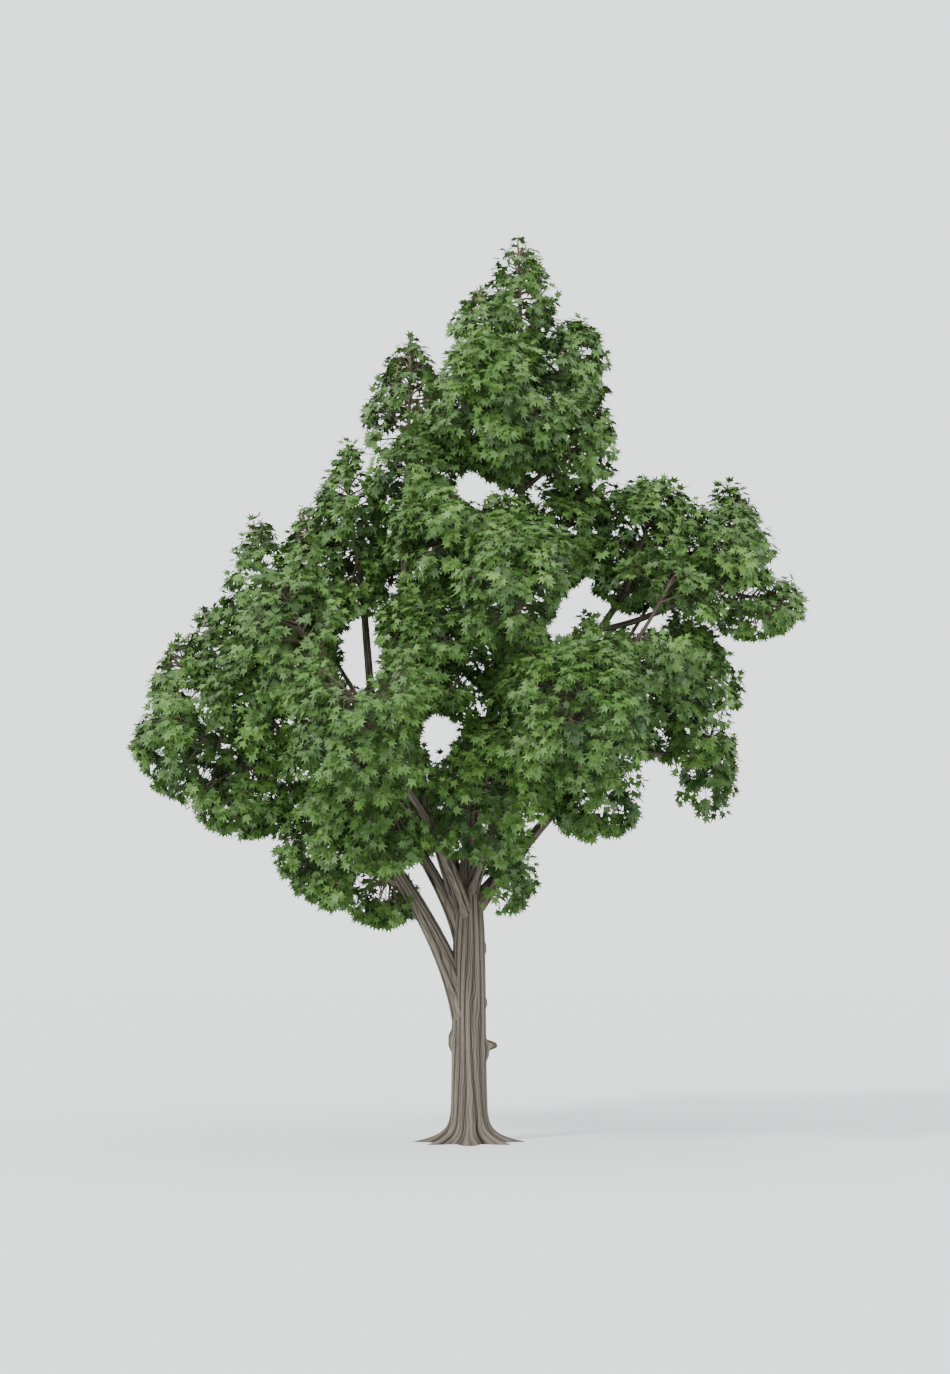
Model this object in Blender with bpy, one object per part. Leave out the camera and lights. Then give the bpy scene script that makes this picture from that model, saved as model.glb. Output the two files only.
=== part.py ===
"""A full-grown sweetgum in summer leaf: trunk, boughs and masses of foliage, each one solid.

Lengths are metres, +Z is up, and the origin is the middle of the flat cut at ground level.
The crown is seen broadside along +Y, with +X to the right.
"""

import math
import random

import bpy
import bmesh
import numpy as np
from mathutils.bvhtree import BVHTree

GAP = 0.0003                # clearance between two solids that touch
UP = np.array([0.0, 0.0, 1.0])
GOLDEN_TURN = math.radians(137.5)

# Trunk: one stem from the ground, through the fork, to the foot of the topmost mass
TRUNK_SIDES = 16
TRUNK_TOP = 17.75
TRUNK_GIRTH = (             # height, radius: it thins where the boughs leave it
    (0.0, 0.395), (3.3, 0.36), (4.6, 0.34), (5.5, 0.27), (6.3, 0.18),
    (7.5, 0.145), (11.7, 0.105), (14.5, 0.075), (TRUNK_TOP, 0.045),
)
LEADER_SWING = 1.15         # how far the leader swings to the right above the fork
SWING_START = 6.0
SWING_END = 13.5
LEADER_WAVE = 0.18          # how far the leader sways back and forth in depth
FLARE_REACH = 0.83          # how far the roots stand out from the trunk on the ground
FLARE_HEIGHT = 0.16         # height in which the flare falls to a third
ROOT_RIDGES = 8
ROOT_GROOVE = 0.55          # share of the flare that is lost between two roots
FLUTE_DEPTH = 0.02

# Old wounds low on the trunk: azimuth in degrees, height, reach past the bark, radius
STUBS = (
    ("right_stub", 4.0, 2.12, 0.21, 0.13),
    ("left_burl", 176.0, 2.22, 0.07, 0.16),
)
STUB_SIDES = 6
STUB_TAPER = (1.3, 1.0, 0.45)   # shares of its radius: in the trunk, part way out, at its end
STUB_SAG = -0.25            # how far it points down for each metre outward

# Boughs: parent, how far along it, tip, early spread and early climb, radii at foot and tip.
# On the trunk the place is a height, and on a bough a share of its length.
BOUGH_SIDES = 6
BOUGH_STEPS = 6
BOUGHS = {
    "low_left_bough": ("trunk", 2.55, (-4.05, -0.1, 8.85), 0.21, 0.50, 0.230, 0.075),
    "left_bough": ("trunk", 3.90, (-3.85, 0.35, 9.75), 0.14, 0.42, 0.150, 0.070),
    "inner_left_bough": ("trunk", 4.70, (-1.40, -0.3, 13.2), 1.15, 0.43, 0.120, 0.065),
    "right_bough": ("trunk", 5.00, (3.30, 0.1, 8.9), 0.45, 0.48, 0.135, 0.070),
    "upper_right_bough": ("trunk", 8.20, (3.45, 0.0, 12.1), 0.45, 0.32, 0.110, 0.070),
    "front_left_bough": ("trunk", 4.75, (-1.9, -3.6, 8.5), 0.30, 0.60, 0.120, 0.065),
    "front_right_bough": ("trunk", 5.35, (1.9, -3.7, 8.7), 0.30, 0.60, 0.115, 0.065),
    "back_left_bough": ("trunk", 4.95, (-1.8, 3.6, 8.6), 0.30, 0.60, 0.120, 0.065),
    "back_right_bough": ("trunk", 5.50, (1.9, 3.6, 8.7), 0.30, 0.60, 0.115, 0.065),
    "upright_bough": ("left_bough", 0.67, (-2.35, 0.1, 12.3), 0.60, 0.50, 0.105, 0.070),
    "low_left_spur": ("low_left_bough", 0.50, (-2.30, 0.1, 6.30), 0.60, 0.20, 0.075, 0.055),
    "right_arm": ("upper_right_bough", 0.80, (5.45, 0.1, 12.35), 0.45, 0.15, 0.075, 0.055),
}

# Sky that shows through the crown: x, z, half width, half height, open through the whole depth
SKY_WINDOWS = {
    "upper_window": (0.30, 14.44, 0.70, 0.42),
    "slanted_window": (2.25, 11.75, 0.48, 0.82),
    "right_window": (3.87, 11.50, 0.55, 0.28),
    "left_window": (-2.40, 10.85, 0.55, 0.92),
    "middle_window": (-0.60, 9.05, 0.60, 0.55),
}

# Masses that make the outline: centre, radii, what carries it, and where.
# On the trunk the place is a height, and on a bough how far back from its tip.
OUTLINE_MASSES = {
    "top_turret": ((1.02, 0.0, 18.60), (0.84, 1.0, 1.45), "trunk", TRUNK_TOP),
    "top_left_tuft": ((0.35, -0.3, 17.90), (0.75, 1.0, 1.10), "trunk", 16.75),
    "high_right_shoulder": ((2.18, 0.2, 16.95), (0.92, 1.3, 1.30), "trunk", 15.9),
    "low_right_shoulder": ((2.50, 0.2, 15.30), (0.85, 1.3, 1.35), "trunk", 14.3),
    "left_turret_1": ((-1.30, 0.1, 16.20), (1.06, 1.3, 1.48), "inner_left_bough", 0.0),
    "left_shoulder": ((-1.00, -0.6, 14.60), (1.45, 1.8, 1.30), "inner_left_bough", 0.60),
    "left_turret_2": ((-2.68, 0.0, 13.95), (0.90, 1.3, 1.60), "upright_bough", 0.0),
    "left_turret_3": ((-3.48, -0.1, 12.80), (0.78, 1.3, 1.30), "upright_bough", 0.25),
    "left_turret_4": ((-4.52, 0.1, 12.25), (0.85, 1.3, 1.50), "left_bough", 0.30),
    "left_turret_5": ((-5.55, 0.1, 10.75), (0.88, 1.3, 1.15), "left_bough", 0.0),
    "left_turret_6": ((-6.28, 0.0, 9.90), (0.85, 1.3, 1.25), "left_bough", 0.55),
    "left_inner_mass": ((-3.70, 0.2, 10.95), (1.25, 1.8, 1.35), "left_bough", 0.95),
    "left_tip_mass": ((-6.10, 0.0, 8.75), (1.30, 1.7, 1.25), "low_left_bough", 0.30),
    "left_middle_mass": ((-4.70, -0.6, 9.80), (1.45, 1.8, 1.45), "low_left_bough", 0.0),
    "left_hanging_mass": ((-4.95, 0.1, 8.00), (1.40, 1.8, 1.30), "low_left_bough", 0.60),
    "low_left_mass": ((-2.92, 0.0, 6.60), (1.50, 1.8, 1.60), "low_left_spur", 0.0),
    "low_left_tuft": ((-1.65, 0.2, 5.25), (0.70, 1.0, 0.70), "low_left_spur", 0.20),
    "right_crest": ((3.90, 0.0, 13.25), (1.45, 1.8, 1.40), "upper_right_bough", 0.0),
    "right_turret": ((5.68, 0.0, 13.15), (1.05, 1.4, 1.50), "right_arm", 0.0),
    "right_beak": ((6.30, 0.0, 11.90), (1.15, 1.2, 0.80), "right_arm", 0.22),
    "right_inner_mass": ((2.20, 0.0, 13.40), (1.30, 1.8, 1.25), "trunk", 12.3),
    "right_middle_mass": ((4.25, 0.0, 10.10), (1.75, 2.0, 1.45), "right_bough", 0.0),
    "right_hanging_tip": ((5.22, 0.0, 8.15), (0.70, 1.2, 1.45), "right_bough", 0.22),
    "low_right_mass": ((2.75, 0.0, 8.02), (1.32, 1.8, 1.34), "right_bough", 0.50),
    "low_right_tuft": ((1.05, -0.4, 6.05), (0.78, 1.3, 1.00), "trunk", 4.55),
}

# Masses in front of the trunk and behind it, one each way: x, depth, height, radii, carrier
DEPTH_MASSES = {
    "upper_mass": ((0.80, 1.35, 16.10), (1.70, 1.60, 1.60), "trunk", 15.2),
    "high_mass": ((-0.30, 1.80, 13.20), (1.75, 1.75, 1.35), "trunk", 11.6),
    "crest_mass": ((0.90, 3.60, 12.30), (1.70, 1.60, 1.60), "trunk", 9.3),
    "inner_left_mass": ((-0.75, 2.10, 10.95), (1.60, 1.70, 1.60), "trunk", 9.7),
    "inner_right_mass": ((1.85, 2.00, 10.20), (1.60, 1.70, 1.60), "trunk", 8.8),
    "low_middle_mass": ((0.50, 1.90, 7.65), (1.60, 1.60, 1.50), "trunk", 6.3),
    "low_inner_mass": ((-1.85, 2.20, 7.45), (1.50, 1.60, 1.45), "left", 1.3),
    "outer_left_mass": ((-2.20, 4.70, 9.30), (1.85, 1.80, 1.70), "left", 0.0),
    "outer_right_mass": ((2.30, 4.60, 9.40), (1.85, 1.80, 1.70), "right", 0.0),
    "far_left_mass": ((-3.60, 2.40, 11.10), (1.50, 1.60, 1.55), "left", 0.30),
    "far_right_mass": ((4.10, 2.20, 11.60), (1.55, 1.50, 1.55), "right", 0.30),
}
DEPTH_JITTER = 0.15         # how unlike the front and back masses are in place
POINTED = ("turret", "tuft")    # words in the names of masses that narrow to a point
POINT_TAPER = 0.45          # share of its width that a pointed mass loses on its way up

# Growth rule of a mass
STEM_RADIUS = (0.065, 0.040)
STEM_SIDES = 3
STEM_STEPS = 3
STEM_SINK = 0.05            # how deep in the tip of its carrier a stem starts
STEM_CREST = 0.55           # how far past the centre the stem runs on its way to the edge
UPTURN = 1.2                # how strongly a stem turns up, more in a tall mass
LEAFY_FROM = 0.8            # how far out from the centre, as a share, the lowest twig may grow
FINE_STEPS = 40             # places along a stem to choose from
TWIG_RADIUS = 0.018         # where the blade begins, and half of that at the foot
SPRAY_LENGTH = 1.45         # a leafy spray on its twig, drawn as one three-lobed leaf
SPRAY_THICKNESS = 0.045     # as a share of its length
SPRAY_SIZES = (1.0, 0.85, 0.7, 0.55, 0.42)
SPRAY_LOBES = ((0.30, 0.62), (0.60, 0.36), (1.0, 0.0), (0.60, -0.36), (0.30, -0.62))
SPRAY_RIDGE = 0.42          # where along the blade its middle stands highest
SHORTEST_TWIG = 0.12
TWIG_FACES = 4              # faces of a spray that belong to its twig
TWIG_TRIES = 24
TURN_SPREAD = 0.7           # radians that a twig may stray from its golden turn
OVERHANG = 0.75             # share of a blade that may hang out of a twig's straight way
REACH_STEP = 0.08
FURTHEST_REACH = 3.0
CREST_TRIES = 48
CREST_SHRINK = 0.015        # share of its length that the topmost spray loses at each try
CREST_SCATTER = 0.35
CREST_TWIG = 0.05
FEWEST_SPRAYS = 6.0
SPRAYS_PER_SQUARE = 2.8     # more sprays for each square metre of the mean radius squared
LIFT = (-0.7, 0.8)          # radians that a twig may lean back or ahead along its stem
SWING = 0.9                 # radians that a blade may turn sideways from its twig
DROOP = (0.0, 1.25)         # radians below level, least and most
CELL_MARGIN = 0.035         # clearance between the spaces of two masses
LIMB_CLEARANCE = 0.05
MOST_CROSSINGS = 2          # face pairs that a new spray may share with those already there

# Colours, linear
BARK_COLOUR = (0.155, 0.125, 0.100)
LEAF_COLOURS = ((0.050, 0.115, 0.032), (0.065, 0.135, 0.036), (0.042, 0.098, 0.034))


def unit(vector):
    """The vector at length one."""
    vector = np.asarray(vector, float)
    return vector / max(np.linalg.norm(vector), 1e-9)


def smooth_step(value):
    """Zero below 0, one above 1, and a smooth rise between."""
    value = np.clip(value, 0.0, 1.0)
    return value * value * (3.0 - 2.0 * value)


def clear_scene():
    """Remove every object that is already there."""
    for old in list(bpy.data.objects):
        bpy.data.objects.remove(old, do_unlink=True)


def material(name, colour, roughness):
    """A plain Principled material."""
    made = bpy.data.materials.new(name)
    made.use_nodes = True
    shader = made.node_tree.nodes["Principled BSDF"]
    shader.inputs["Base Color"].default_value = (*colour, 1.0)
    shader.inputs["Roughness"].default_value = roughness
    shader.inputs["Metallic"].default_value = 0.0
    made.diffuse_color = (*colour, 1.0)
    return made


def mesh_object(name, vertices, faces, collection=None):
    """A mesh object with outward faces, linked to the scene or to a collection."""
    mesh = bpy.data.meshes.new(name)
    mesh.from_pydata([tuple(map(float, v)) for v in vertices], [], faces)
    made = bpy.data.objects.new(name, mesh)
    (collection or bpy.context.scene.collection).objects.link(made)
    return made


def tube_faces(rings, sides):
    """Triangles between rings of corners, with a cap at both ends."""
    faces = [tuple(reversed(range(sides)))]
    for low in range(0, (rings - 1) * sides, sides):
        high = low + sides
        for k in range(sides):
            after = (k + 1) % sides
            faces.append((low + k, low + after, high + after))
            faces.append((low + k, high + after, high + k))
    faces.append(tuple((rings - 1) * sides + k for k in range(sides)))
    return faces


def tube_mesh(points, radii, sides):
    """Rings of a given number of sides along a path, joined and capped at both ends."""
    points = np.asarray(points, float)
    run = unit(points[-1] - points[0])
    helper = np.eye(3)[int(np.argmin(np.abs(run)))]
    tangents = np.gradient(points, axis=0)
    vertices = []
    for point, tangent, radius in zip(points, tangents, radii):
        tangent = unit(tangent)
        side = unit(np.cross(tangent, helper))
        other = np.cross(tangent, side)
        for k in range(sides):
            turn = 2.0 * math.pi * k / sides
            vertices.append(point + radius * (math.cos(turn) * side + math.sin(turn) * other))
    return vertices, tube_faces(len(points), sides)


def evaluated_mesh(target):
    """The mesh of an object with its modifiers applied."""
    graph = bpy.context.evaluated_depsgraph_get()
    return bpy.data.meshes.new_from_object(target.evaluated_get(graph))


def outer_shell(mesh):
    """Keep the widest shell of a mesh, so that no scrap and no sealed hollow is left."""
    shape = bmesh.new()
    shape.from_mesh(mesh)
    unseen = set(shape.verts)
    shells = []
    while unseen:
        front = [unseen.pop()]
        shell = list(front)
        while front:
            for edge in front.pop().link_edges:
                for vertex in edge.verts:
                    if vertex in unseen:
                        unseen.discard(vertex)
                        shell.append(vertex)
                        front.append(vertex)
        places = np.array([vertex.co[:] for vertex in shell])
        shells.append((float(np.ptp(places, axis=0).sum()), shell))
    shells.sort(key=lambda row: row[0], reverse=True)
    for width, scrap in shells[1:]:
        bmesh.ops.delete(shape, geom=scrap, context="VERTS")
    bmesh.ops.triangulate(shape, faces=shape.faces)
    closed = all(len(edge.link_faces) == 2 for edge in shape.edges)
    shape.to_mesh(mesh)
    shape.free()
    return closed


def join_and_cut(target, parts, cutter):
    """Fuse a collection to the target, cut it clear of its carrier, and drop both.

    A shape that the exact solver leaves open is worked out again by the other solver.
    """
    cutter.hide_render = True
    cutter.display_type = "WIRE"
    for solver in ("EXACT", "MANIFOLD"):
        target.modifiers.clear()
        join = target.modifiers.new("Fuse", "BOOLEAN")
        join.operation = "UNION"
        join.operand_type = "COLLECTION"
        join.collection = parts
        join.solver = solver
        clear = target.modifiers.new("Cut", "BOOLEAN")
        clear.operation = "DIFFERENCE"
        clear.object = cutter
        clear.solver = solver
        mesh = evaluated_mesh(target)
        if outer_shell(mesh):
            break
        print(target.name, "is open by", solver)
    target.modifiers.clear()
    target.data = mesh
    for used in list(parts.objects):
        bpy.data.objects.remove(used, do_unlink=True)
    bpy.data.collections.remove(parts)
    bpy.data.objects.remove(cutter, do_unlink=True)


def new_collection(name):
    """A collection for the parts of one solid."""
    parts = bpy.data.collections.new(name)
    bpy.context.scene.collection.children.link(parts)
    return parts


# The limbs as paths of points with a radius at each, before any solid is made
limb_paths = {}


def trunk_centre(height):
    """The trunk stands straight to the fork, and its leader swings over to the right."""
    rise = smooth_step((height - SWING_START) / (SWING_END - SWING_START))
    depth = LEADER_WAVE * math.sin(math.pi * max(height - SWING_START, 0.0) / SWING_END)
    return np.array([LEADER_SWING * float(rise), depth, height])


def trunk_radius(height):
    """The bare radius of the trunk, without its flare."""
    heights = [row[0] for row in TRUNK_GIRTH]
    radii = [row[1] for row in TRUNK_GIRTH]
    return float(np.interp(height, heights, radii))


def trunk_heights():
    """Ring heights: close together in the flare, then further and further apart."""
    low = [0.0, 0.05, 0.12, 0.24, 0.42, 0.75]
    middle = list(np.linspace(1.5, 6.5, 9))
    high = list(np.linspace(7.5, TRUNK_TOP, 9))
    return low + middle + high


def trunk_mesh(extra):
    """Level rings with ridges that run down into the roots, grown all round by extra."""
    heights = trunk_heights()
    vertices = []
    for height in heights:
        centre = trunk_centre(height)
        flare = FLARE_REACH * math.exp(-height / FLARE_HEIGHT)
        for k in range(TRUNK_SIDES):
            turn = 2.0 * math.pi * k / TRUNK_SIDES
            ridge = 0.5 + 0.5 * math.cos(ROOT_RIDGES * turn)
            radius = trunk_radius(height)
            radius += flare * (1.0 - ROOT_GROOVE * (1.0 - ridge))
            radius += FLUTE_DEPTH * (ridge - 0.5) * radius / TRUNK_GIRTH[0][1] + extra
            vertices.append(centre + radius * np.array([math.cos(turn), math.sin(turn), 0.0]))
    if extra:
        for k in range(TRUNK_SIDES):
            vertices[-1 - k] = vertices[-1 - k] + extra * UP
    return vertices, tube_faces(len(heights), TRUNK_SIDES)


def bend(start, elbow, end, steps):
    """A quadratic curve from start to end that leaves towards the elbow."""
    t = np.linspace(0.0, 1.0, steps + 1)[:, None]
    return (1 - t) ** 2 * start + 2 * t * (1 - t) * elbow + t ** 2 * end


def plan_limbs():
    """Work out the path and the radii of the trunk and of every bough."""
    heights = np.array(trunk_heights())
    places = np.array([trunk_centre(h) for h in heights])
    radii = np.array([trunk_radius(h) + FLARE_REACH * math.exp(-h / FLARE_HEIGHT) for h in heights])
    limb_paths["trunk"] = (places, radii)
    for name, (parent, place, tip, spread, climb, foot, point) in BOUGHS.items():
        tip = np.array(tip)
        if parent == "trunk":
            start = trunk_centre(place)
        else:
            path = limb_paths[parent][0]
            start = path[int(round(place * (len(path) - 1)))]
        travel = tip - start
        elbow = start + travel * np.array([spread, spread, climb])
        path = bend(start, elbow, tip, BOUGH_STEPS)
        limb_paths[name] = (path, np.linspace(foot, point, len(path)))


def plan_masses():
    """Name, centre, radii and carrier of every mass, the front and back ones by a loop."""
    masses = dict(OUTLINE_MASSES)
    for name, (centre, radii, carrier, place) in DEPTH_MASSES.items():
        for word, side in (("front", -1.0), ("back", 1.0)):
            chance = random.Random(word + name)
            x, depth, height = centre
            spot = (
                x + chance.uniform(-DEPTH_JITTER, DEPTH_JITTER),
                side * (depth + chance.uniform(-DEPTH_JITTER, DEPTH_JITTER)),
                height + chance.uniform(-DEPTH_JITTER, DEPTH_JITTER),
            )
            bearer = carrier if carrier == "trunk" else f"{word}_{carrier}_bough"
            masses[f"{word}_{name}"] = (spot, radii, bearer, place)
    return masses


def plan_stem(centre, radii, carrier, place):
    """The elbow points of a mass's stem: in its carrier, at the mass's centre, at its crest."""
    if carrier == "trunk":
        start = trunk_centre(min(place, TRUNK_TOP - STEM_SINK))
    else:
        path = limb_paths[carrier][0]
        lengths = np.linalg.norm(np.diff(path, axis=0), axis=1)
        along = np.concatenate([[0.0], np.cumsum(lengths)])
        spot = along[-1] - max(place, STEM_SINK)
        start = np.array([np.interp(spot, along, path[:, axis]) for axis in range(3)])
    centre = np.array(centre)
    radii = np.array(radii)
    upright = 2.0 * radii[2] / (radii[0] + radii[1])
    heading = unit(unit((centre - start) / radii) + UPTURN * upright * UP)
    return start, centre, centre + STEM_CREST * radii * heading


def measures(points, centres, radii, tapers):
    """How far out each point lies in each mass, in shares of a radius that narrows upwards."""
    offsets = (points[:, None] - centres) / radii
    narrowing = 1.0 - tapers * np.clip(offsets[:, :, 2], 0.0, 1.0)
    offsets[:, :, :2] /= narrowing[:, :, None]
    return np.linalg.norm(offsets, axis=2)


class Crown:
    """The masses and every limb as arrays, to ask which points are free for a mass's leaves."""

    def __init__(self, masses, stems):
        self.names = list(masses)
        self.centres = np.array([row[0] for row in masses.values()])
        self.radii = np.array([row[1] for row in masses.values()])
        pointed = [any(word in name for word in POINTED) for name in masses]
        self.tapers = POINT_TAPER * np.array(pointed, float)
        starts, ends, low, high, owners = [], [], [], [], []
        limbs = [(None, path, radii) for path, radii in limb_paths.values()]
        for name, points in stems.items():
            path = bend(*points, STEM_STEPS)
            limbs.append((name, path, np.full(len(path), STEM_RADIUS[0])))
        for owner, path, radii in limbs:
            starts.extend(path[:-1])
            ends.extend(path[1:])
            low.extend(radii[:-1])
            high.extend(radii[1:])
            owners.extend([owner] * (len(path) - 1))
        self.starts = np.array(starts)
        self.runs = np.array(ends) - self.starts
        self.low = np.array(low)
        self.high = np.array(high)
        self.owners = np.array([self.names.index(o) if o else -1 for o in owners])

    def free(self, points, name):
        """True for the points in a mass's own space, clear of sky and of every limb."""
        points = np.atleast_2d(points)
        own = self.names.index(name)
        outness = measures(points, self.centres, self.radii, self.tapers)
        mine = outness[:, own].copy()
        outness[:, own] = np.inf
        free = (mine < 1.0) & (mine < outness.min(axis=1) - CELL_MARGIN)
        for x, z, half_width, half_height in SKY_WINDOWS.values():
            across = (points[:, 0] - x) / half_width
            free &= np.hypot(across, (points[:, 2] - z) / half_height) > 1.0
        away = points[:, None] - self.starts
        share = (away * self.runs).sum(axis=2) / (self.runs * self.runs).sum(axis=1)
        share = np.clip(share, 0.0, 1.0)
        nearest = np.linalg.norm(away - share[:, :, None] * self.runs, axis=2)
        room = nearest - (self.low + share * (self.high - self.low))
        room[:, self.owners == own] = np.inf
        return free & (room.min(axis=1) > LIMB_CLEARANCE)

    def way_out(self, start, heading, name):
        """How far a ray runs from a point before it leaves the mass's space."""
        steps = np.arange(REACH_STEP, FURTHEST_REACH, REACH_STEP)
        blocked = np.nonzero(~self.free(start + steps[:, None] * heading, name))[0]
        return float(steps[blocked[0]]) if len(blocked) else float(steps[-1])


def spray_mesh(foot, root, heading, length):
    """A three-sided twig from foot to root that bends into a three-lobed blade.

    The blade's width lies square to the twig and to the blade's own heading, so the twig's
    sides stay flat. Its underside is flat and its middle is raised, and its first corners
    are the twig's own last ring, so that twig and blade are one closed solid.
    """
    run = unit(root - foot)
    heading = unit(heading)
    across = unit(np.cross(run, heading))
    face = np.cross(heading, across)
    if face @ UP < 0.0:
        across = -across
        face = -face
    above = np.cross(run, across)
    vertices = [foot + 0.5 * TWIG_RADIUS * way for way in (across, -across, above)]
    vertices += [root + TWIG_RADIUS * way for way in (across, -across, above)]
    vertices += [root + length * (u * heading + v * across) for u, v in SPRAY_LOBES]
    vertices.append(root + length * (SPRAY_RIDGE * heading + SPRAY_THICKNESS * face))
    faces = [(0, 1, 2)]
    faces += [(k, after, after + 3, k + 3) for k, after in ((0, 2), (2, 1), (1, 0))]
    peak = len(vertices) - 1
    rim = [3] + list(range(6, peak)) + [4]
    faces += [(rim[k + 1], rim[k], peak) for k in range(len(rim) - 1)]
    faces += [(peak, 5, 4), (peak, 3, 5), tuple(rim)]
    return vertices, faces


def blade_samples(vertices):
    """Points to test on a blade: its corners, its ridge and the middles of its edges."""
    rim = np.array([vertices[3]] + vertices[6:-1] + [vertices[4]])
    middles = 0.5 * (rim[1:] + rim[:-1])
    return np.vstack([rim, middles, [vertices[-1]], 0.5 * (rim[1:-1] + vertices[-1])])


def search_tree(shapes):
    """One search tree over several shapes, each given as its corners and faces."""
    corners, faces = [], []
    for vertices, sides in shapes:
        base = len(corners)
        corners.extend(tuple(map(float, vertex)) for vertex in vertices)
        faces.extend(tuple(base + k for k in side) for side in sides)
    return BVHTree.FromPolygons(corners, faces)


def object_shape(name):
    """The corners and faces of a finished solid."""
    mesh = bpy.data.objects[name].data
    return [v.co[:] for v in mesh.vertices], [tuple(face.vertices) for face in mesh.polygons]


class Growth:
    """What a mass has grown so far, and all the solids that it must stay clear of."""

    def __init__(self, name, crown, stem, others):
        self.name = name
        self.crown = crown
        self.chance = random.Random(name)
        self.stem = search_tree([stem])
        self.others = search_tree(others)
        self.sprays = []

    def add_spray(self, foot, run, reach, heading, length):
        """A spray, or nothing where it would leave the mass's space or touch a limb."""
        vertices, faces = spray_mesh(foot, foot + reach * run, heading, length)
        if not self.crown.free(blade_samples(vertices), self.name).all():
            return None
        tree = search_tree([(vertices, faces)])
        if tree.overlap(self.others):
            return None
        blade = search_tree([(vertices, faces[TWIG_FACES:])])
        crossings = sum(len(tree.overlap(other)) for other in self.sprays)
        if blade.overlap(self.stem) or crossings > MOST_CROSSINGS:
            return None
        self.sprays.append(tree)
        return vertices, faces

    def crest_spray(self, foot, ahead):
        """The spray at the end of the stem, as long as its space lets it be."""
        room = self.crown.way_out(foot, ahead, self.name)
        for attempt in range(CREST_TRIES):
            scatter = np.array([self.chance.uniform(-1.0, 1.0) for axis in range(3)])
            heading = unit(ahead + CREST_SCATTER * scatter)
            length = (1.0 - CREST_SHRINK * attempt) * min(SPRAY_LENGTH, room)
            found = self.add_spray(foot, ahead, CREST_TWIG, heading, length)
            if found:
                return found
        return None

    def side_spray(self, foot, ahead, turn):
        """The largest spray that fits the mass's space near a given turn about its stem."""
        side = unit(np.cross(ahead, np.array([0.3, 1.0, 0.2])))
        other = np.cross(ahead, side)
        for attempt in range(len(SPRAY_SIZES) * TWIG_TRIES):
            length = SPRAY_LENGTH * SPRAY_SIZES[attempt // TWIG_TRIES]
            around = turn + self.chance.uniform(-TURN_SPREAD, TURN_SPREAD)
            lift = self.chance.uniform(*LIFT)
            run = math.cos(around) * side + math.sin(around) * other
            run = unit(math.cos(lift) * run + math.sin(lift) * ahead)
            room = self.crown.way_out(foot, run, self.name)
            reach = max(room - OVERHANG * length, SHORTEST_TWIG)
            swing = math.atan2(run[1], run[0]) + self.chance.uniform(-SWING, SWING)
            droop = self.chance.uniform(*DROOP)
            level = np.array([math.cos(swing), math.sin(swing), 0.0])
            heading = math.cos(droop) * level - math.sin(droop) * UP
            found = self.add_spray(foot, run, reach, heading, length)
            if found:
                return found
        return None


def grow_mass(name, row, points, crown, taken, finish):
    """One mass: a stem, and along it sprays on twigs, each a golden turn from the last."""
    centre, radii, carrier, place = row
    path = bend(*points, STEM_STEPS)
    growth = Growth(name, crown, taken[name], [taken[other] for other in taken if other != name])
    body = mesh_object(name, *taken[name])
    parts = new_collection(name + "_parts")
    fine = bend(*points, FINE_STEPS)
    inner = np.linalg.norm((fine - np.array(centre)) / np.array(radii), axis=1) < LEAFY_FROM
    entry = int(np.argmax(inner))
    last = FINE_STEPS - 1
    wanted = int(round(FEWEST_SPRAYS + SPRAYS_PER_SQUARE * float(np.mean(radii)) ** 2))
    turn = growth.chance.uniform(0.0, 2.0 * math.pi)
    for k in range(wanted):
        spot = entry + (last - entry) * (1.0 - k / wanted)
        index = int(spot)
        ahead = unit(fine[index + 1] - fine[index])
        if k == 0:
            found = growth.crest_spray(path[-1], ahead)
        else:
            foot = coarse_point(path, spot / FINE_STEPS)
            found = growth.side_spray(foot, ahead, turn + k * GOLDEN_TURN)
        if found:
            mesh_object("spray", *found, parts)
    join_and_cut(body, parts, limb_cutter(carrier))
    body.data.materials.append(finish)
    taken[name] = object_shape(name)
    return len(growth.sprays)


def coarse_point(path, share):
    """The point at a share of a path's steps, on the straight pieces that the solid follows."""
    index = share * (len(path) - 1)
    return np.array([np.interp(index, np.arange(len(path)), path[:, axis]) for axis in range(3)])


def limb_cutter(name):
    """A limb's solid, grown by the gap all round and at its tip."""
    if name == "trunk":
        return mesh_object("cutter", *trunk_mesh(GAP))
    path, radii = limb_paths[name]
    path = path.copy()
    path[-1] = path[-1] + GAP * unit(path[-1] - path[-2])
    return mesh_object("cutter", *tube_mesh(path, radii + GAP, BOUGH_SIDES))


def far_block():
    """A small block far below the tree, for a solid that nothing has to be cut from."""
    corner = np.array([0.0, 0.0, -5.0])
    return mesh_object("cutter", *tube_mesh([corner, corner + UP], (0.5, 0.5), 4))


def make_limbs(bark):
    """The trunk with its stubs, and each bough cut clear of what it grows from."""
    trunk = mesh_object("trunk", *trunk_mesh(0.0))
    stubs = new_collection("stubs")
    for name, azimuth, height, reach, radius in STUBS:
        turn = math.radians(azimuth)
        outward = np.array([math.cos(turn), math.sin(turn), STUB_SAG])
        start = trunk_centre(height)
        skin = trunk_radius(height)
        points = [start + far * outward for far in (0.5 * skin, skin + 0.4 * reach, skin + reach)]
        stub = tube_mesh(points, [share * radius for share in STUB_TAPER], STUB_SIDES)
        mesh_object(name, *stub, stubs)
    join_and_cut(trunk, stubs, far_block())
    trunk.data.materials.append(bark)
    for name, (parent, *rest) in BOUGHS.items():
        path, radii = limb_paths[name]
        bough = mesh_object(name, *tube_mesh(path, radii, BOUGH_SIDES))
        join_and_cut(bough, new_collection(name + "_parts"), limb_cutter(parent))
        bough.data.materials.append(bark)


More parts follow.
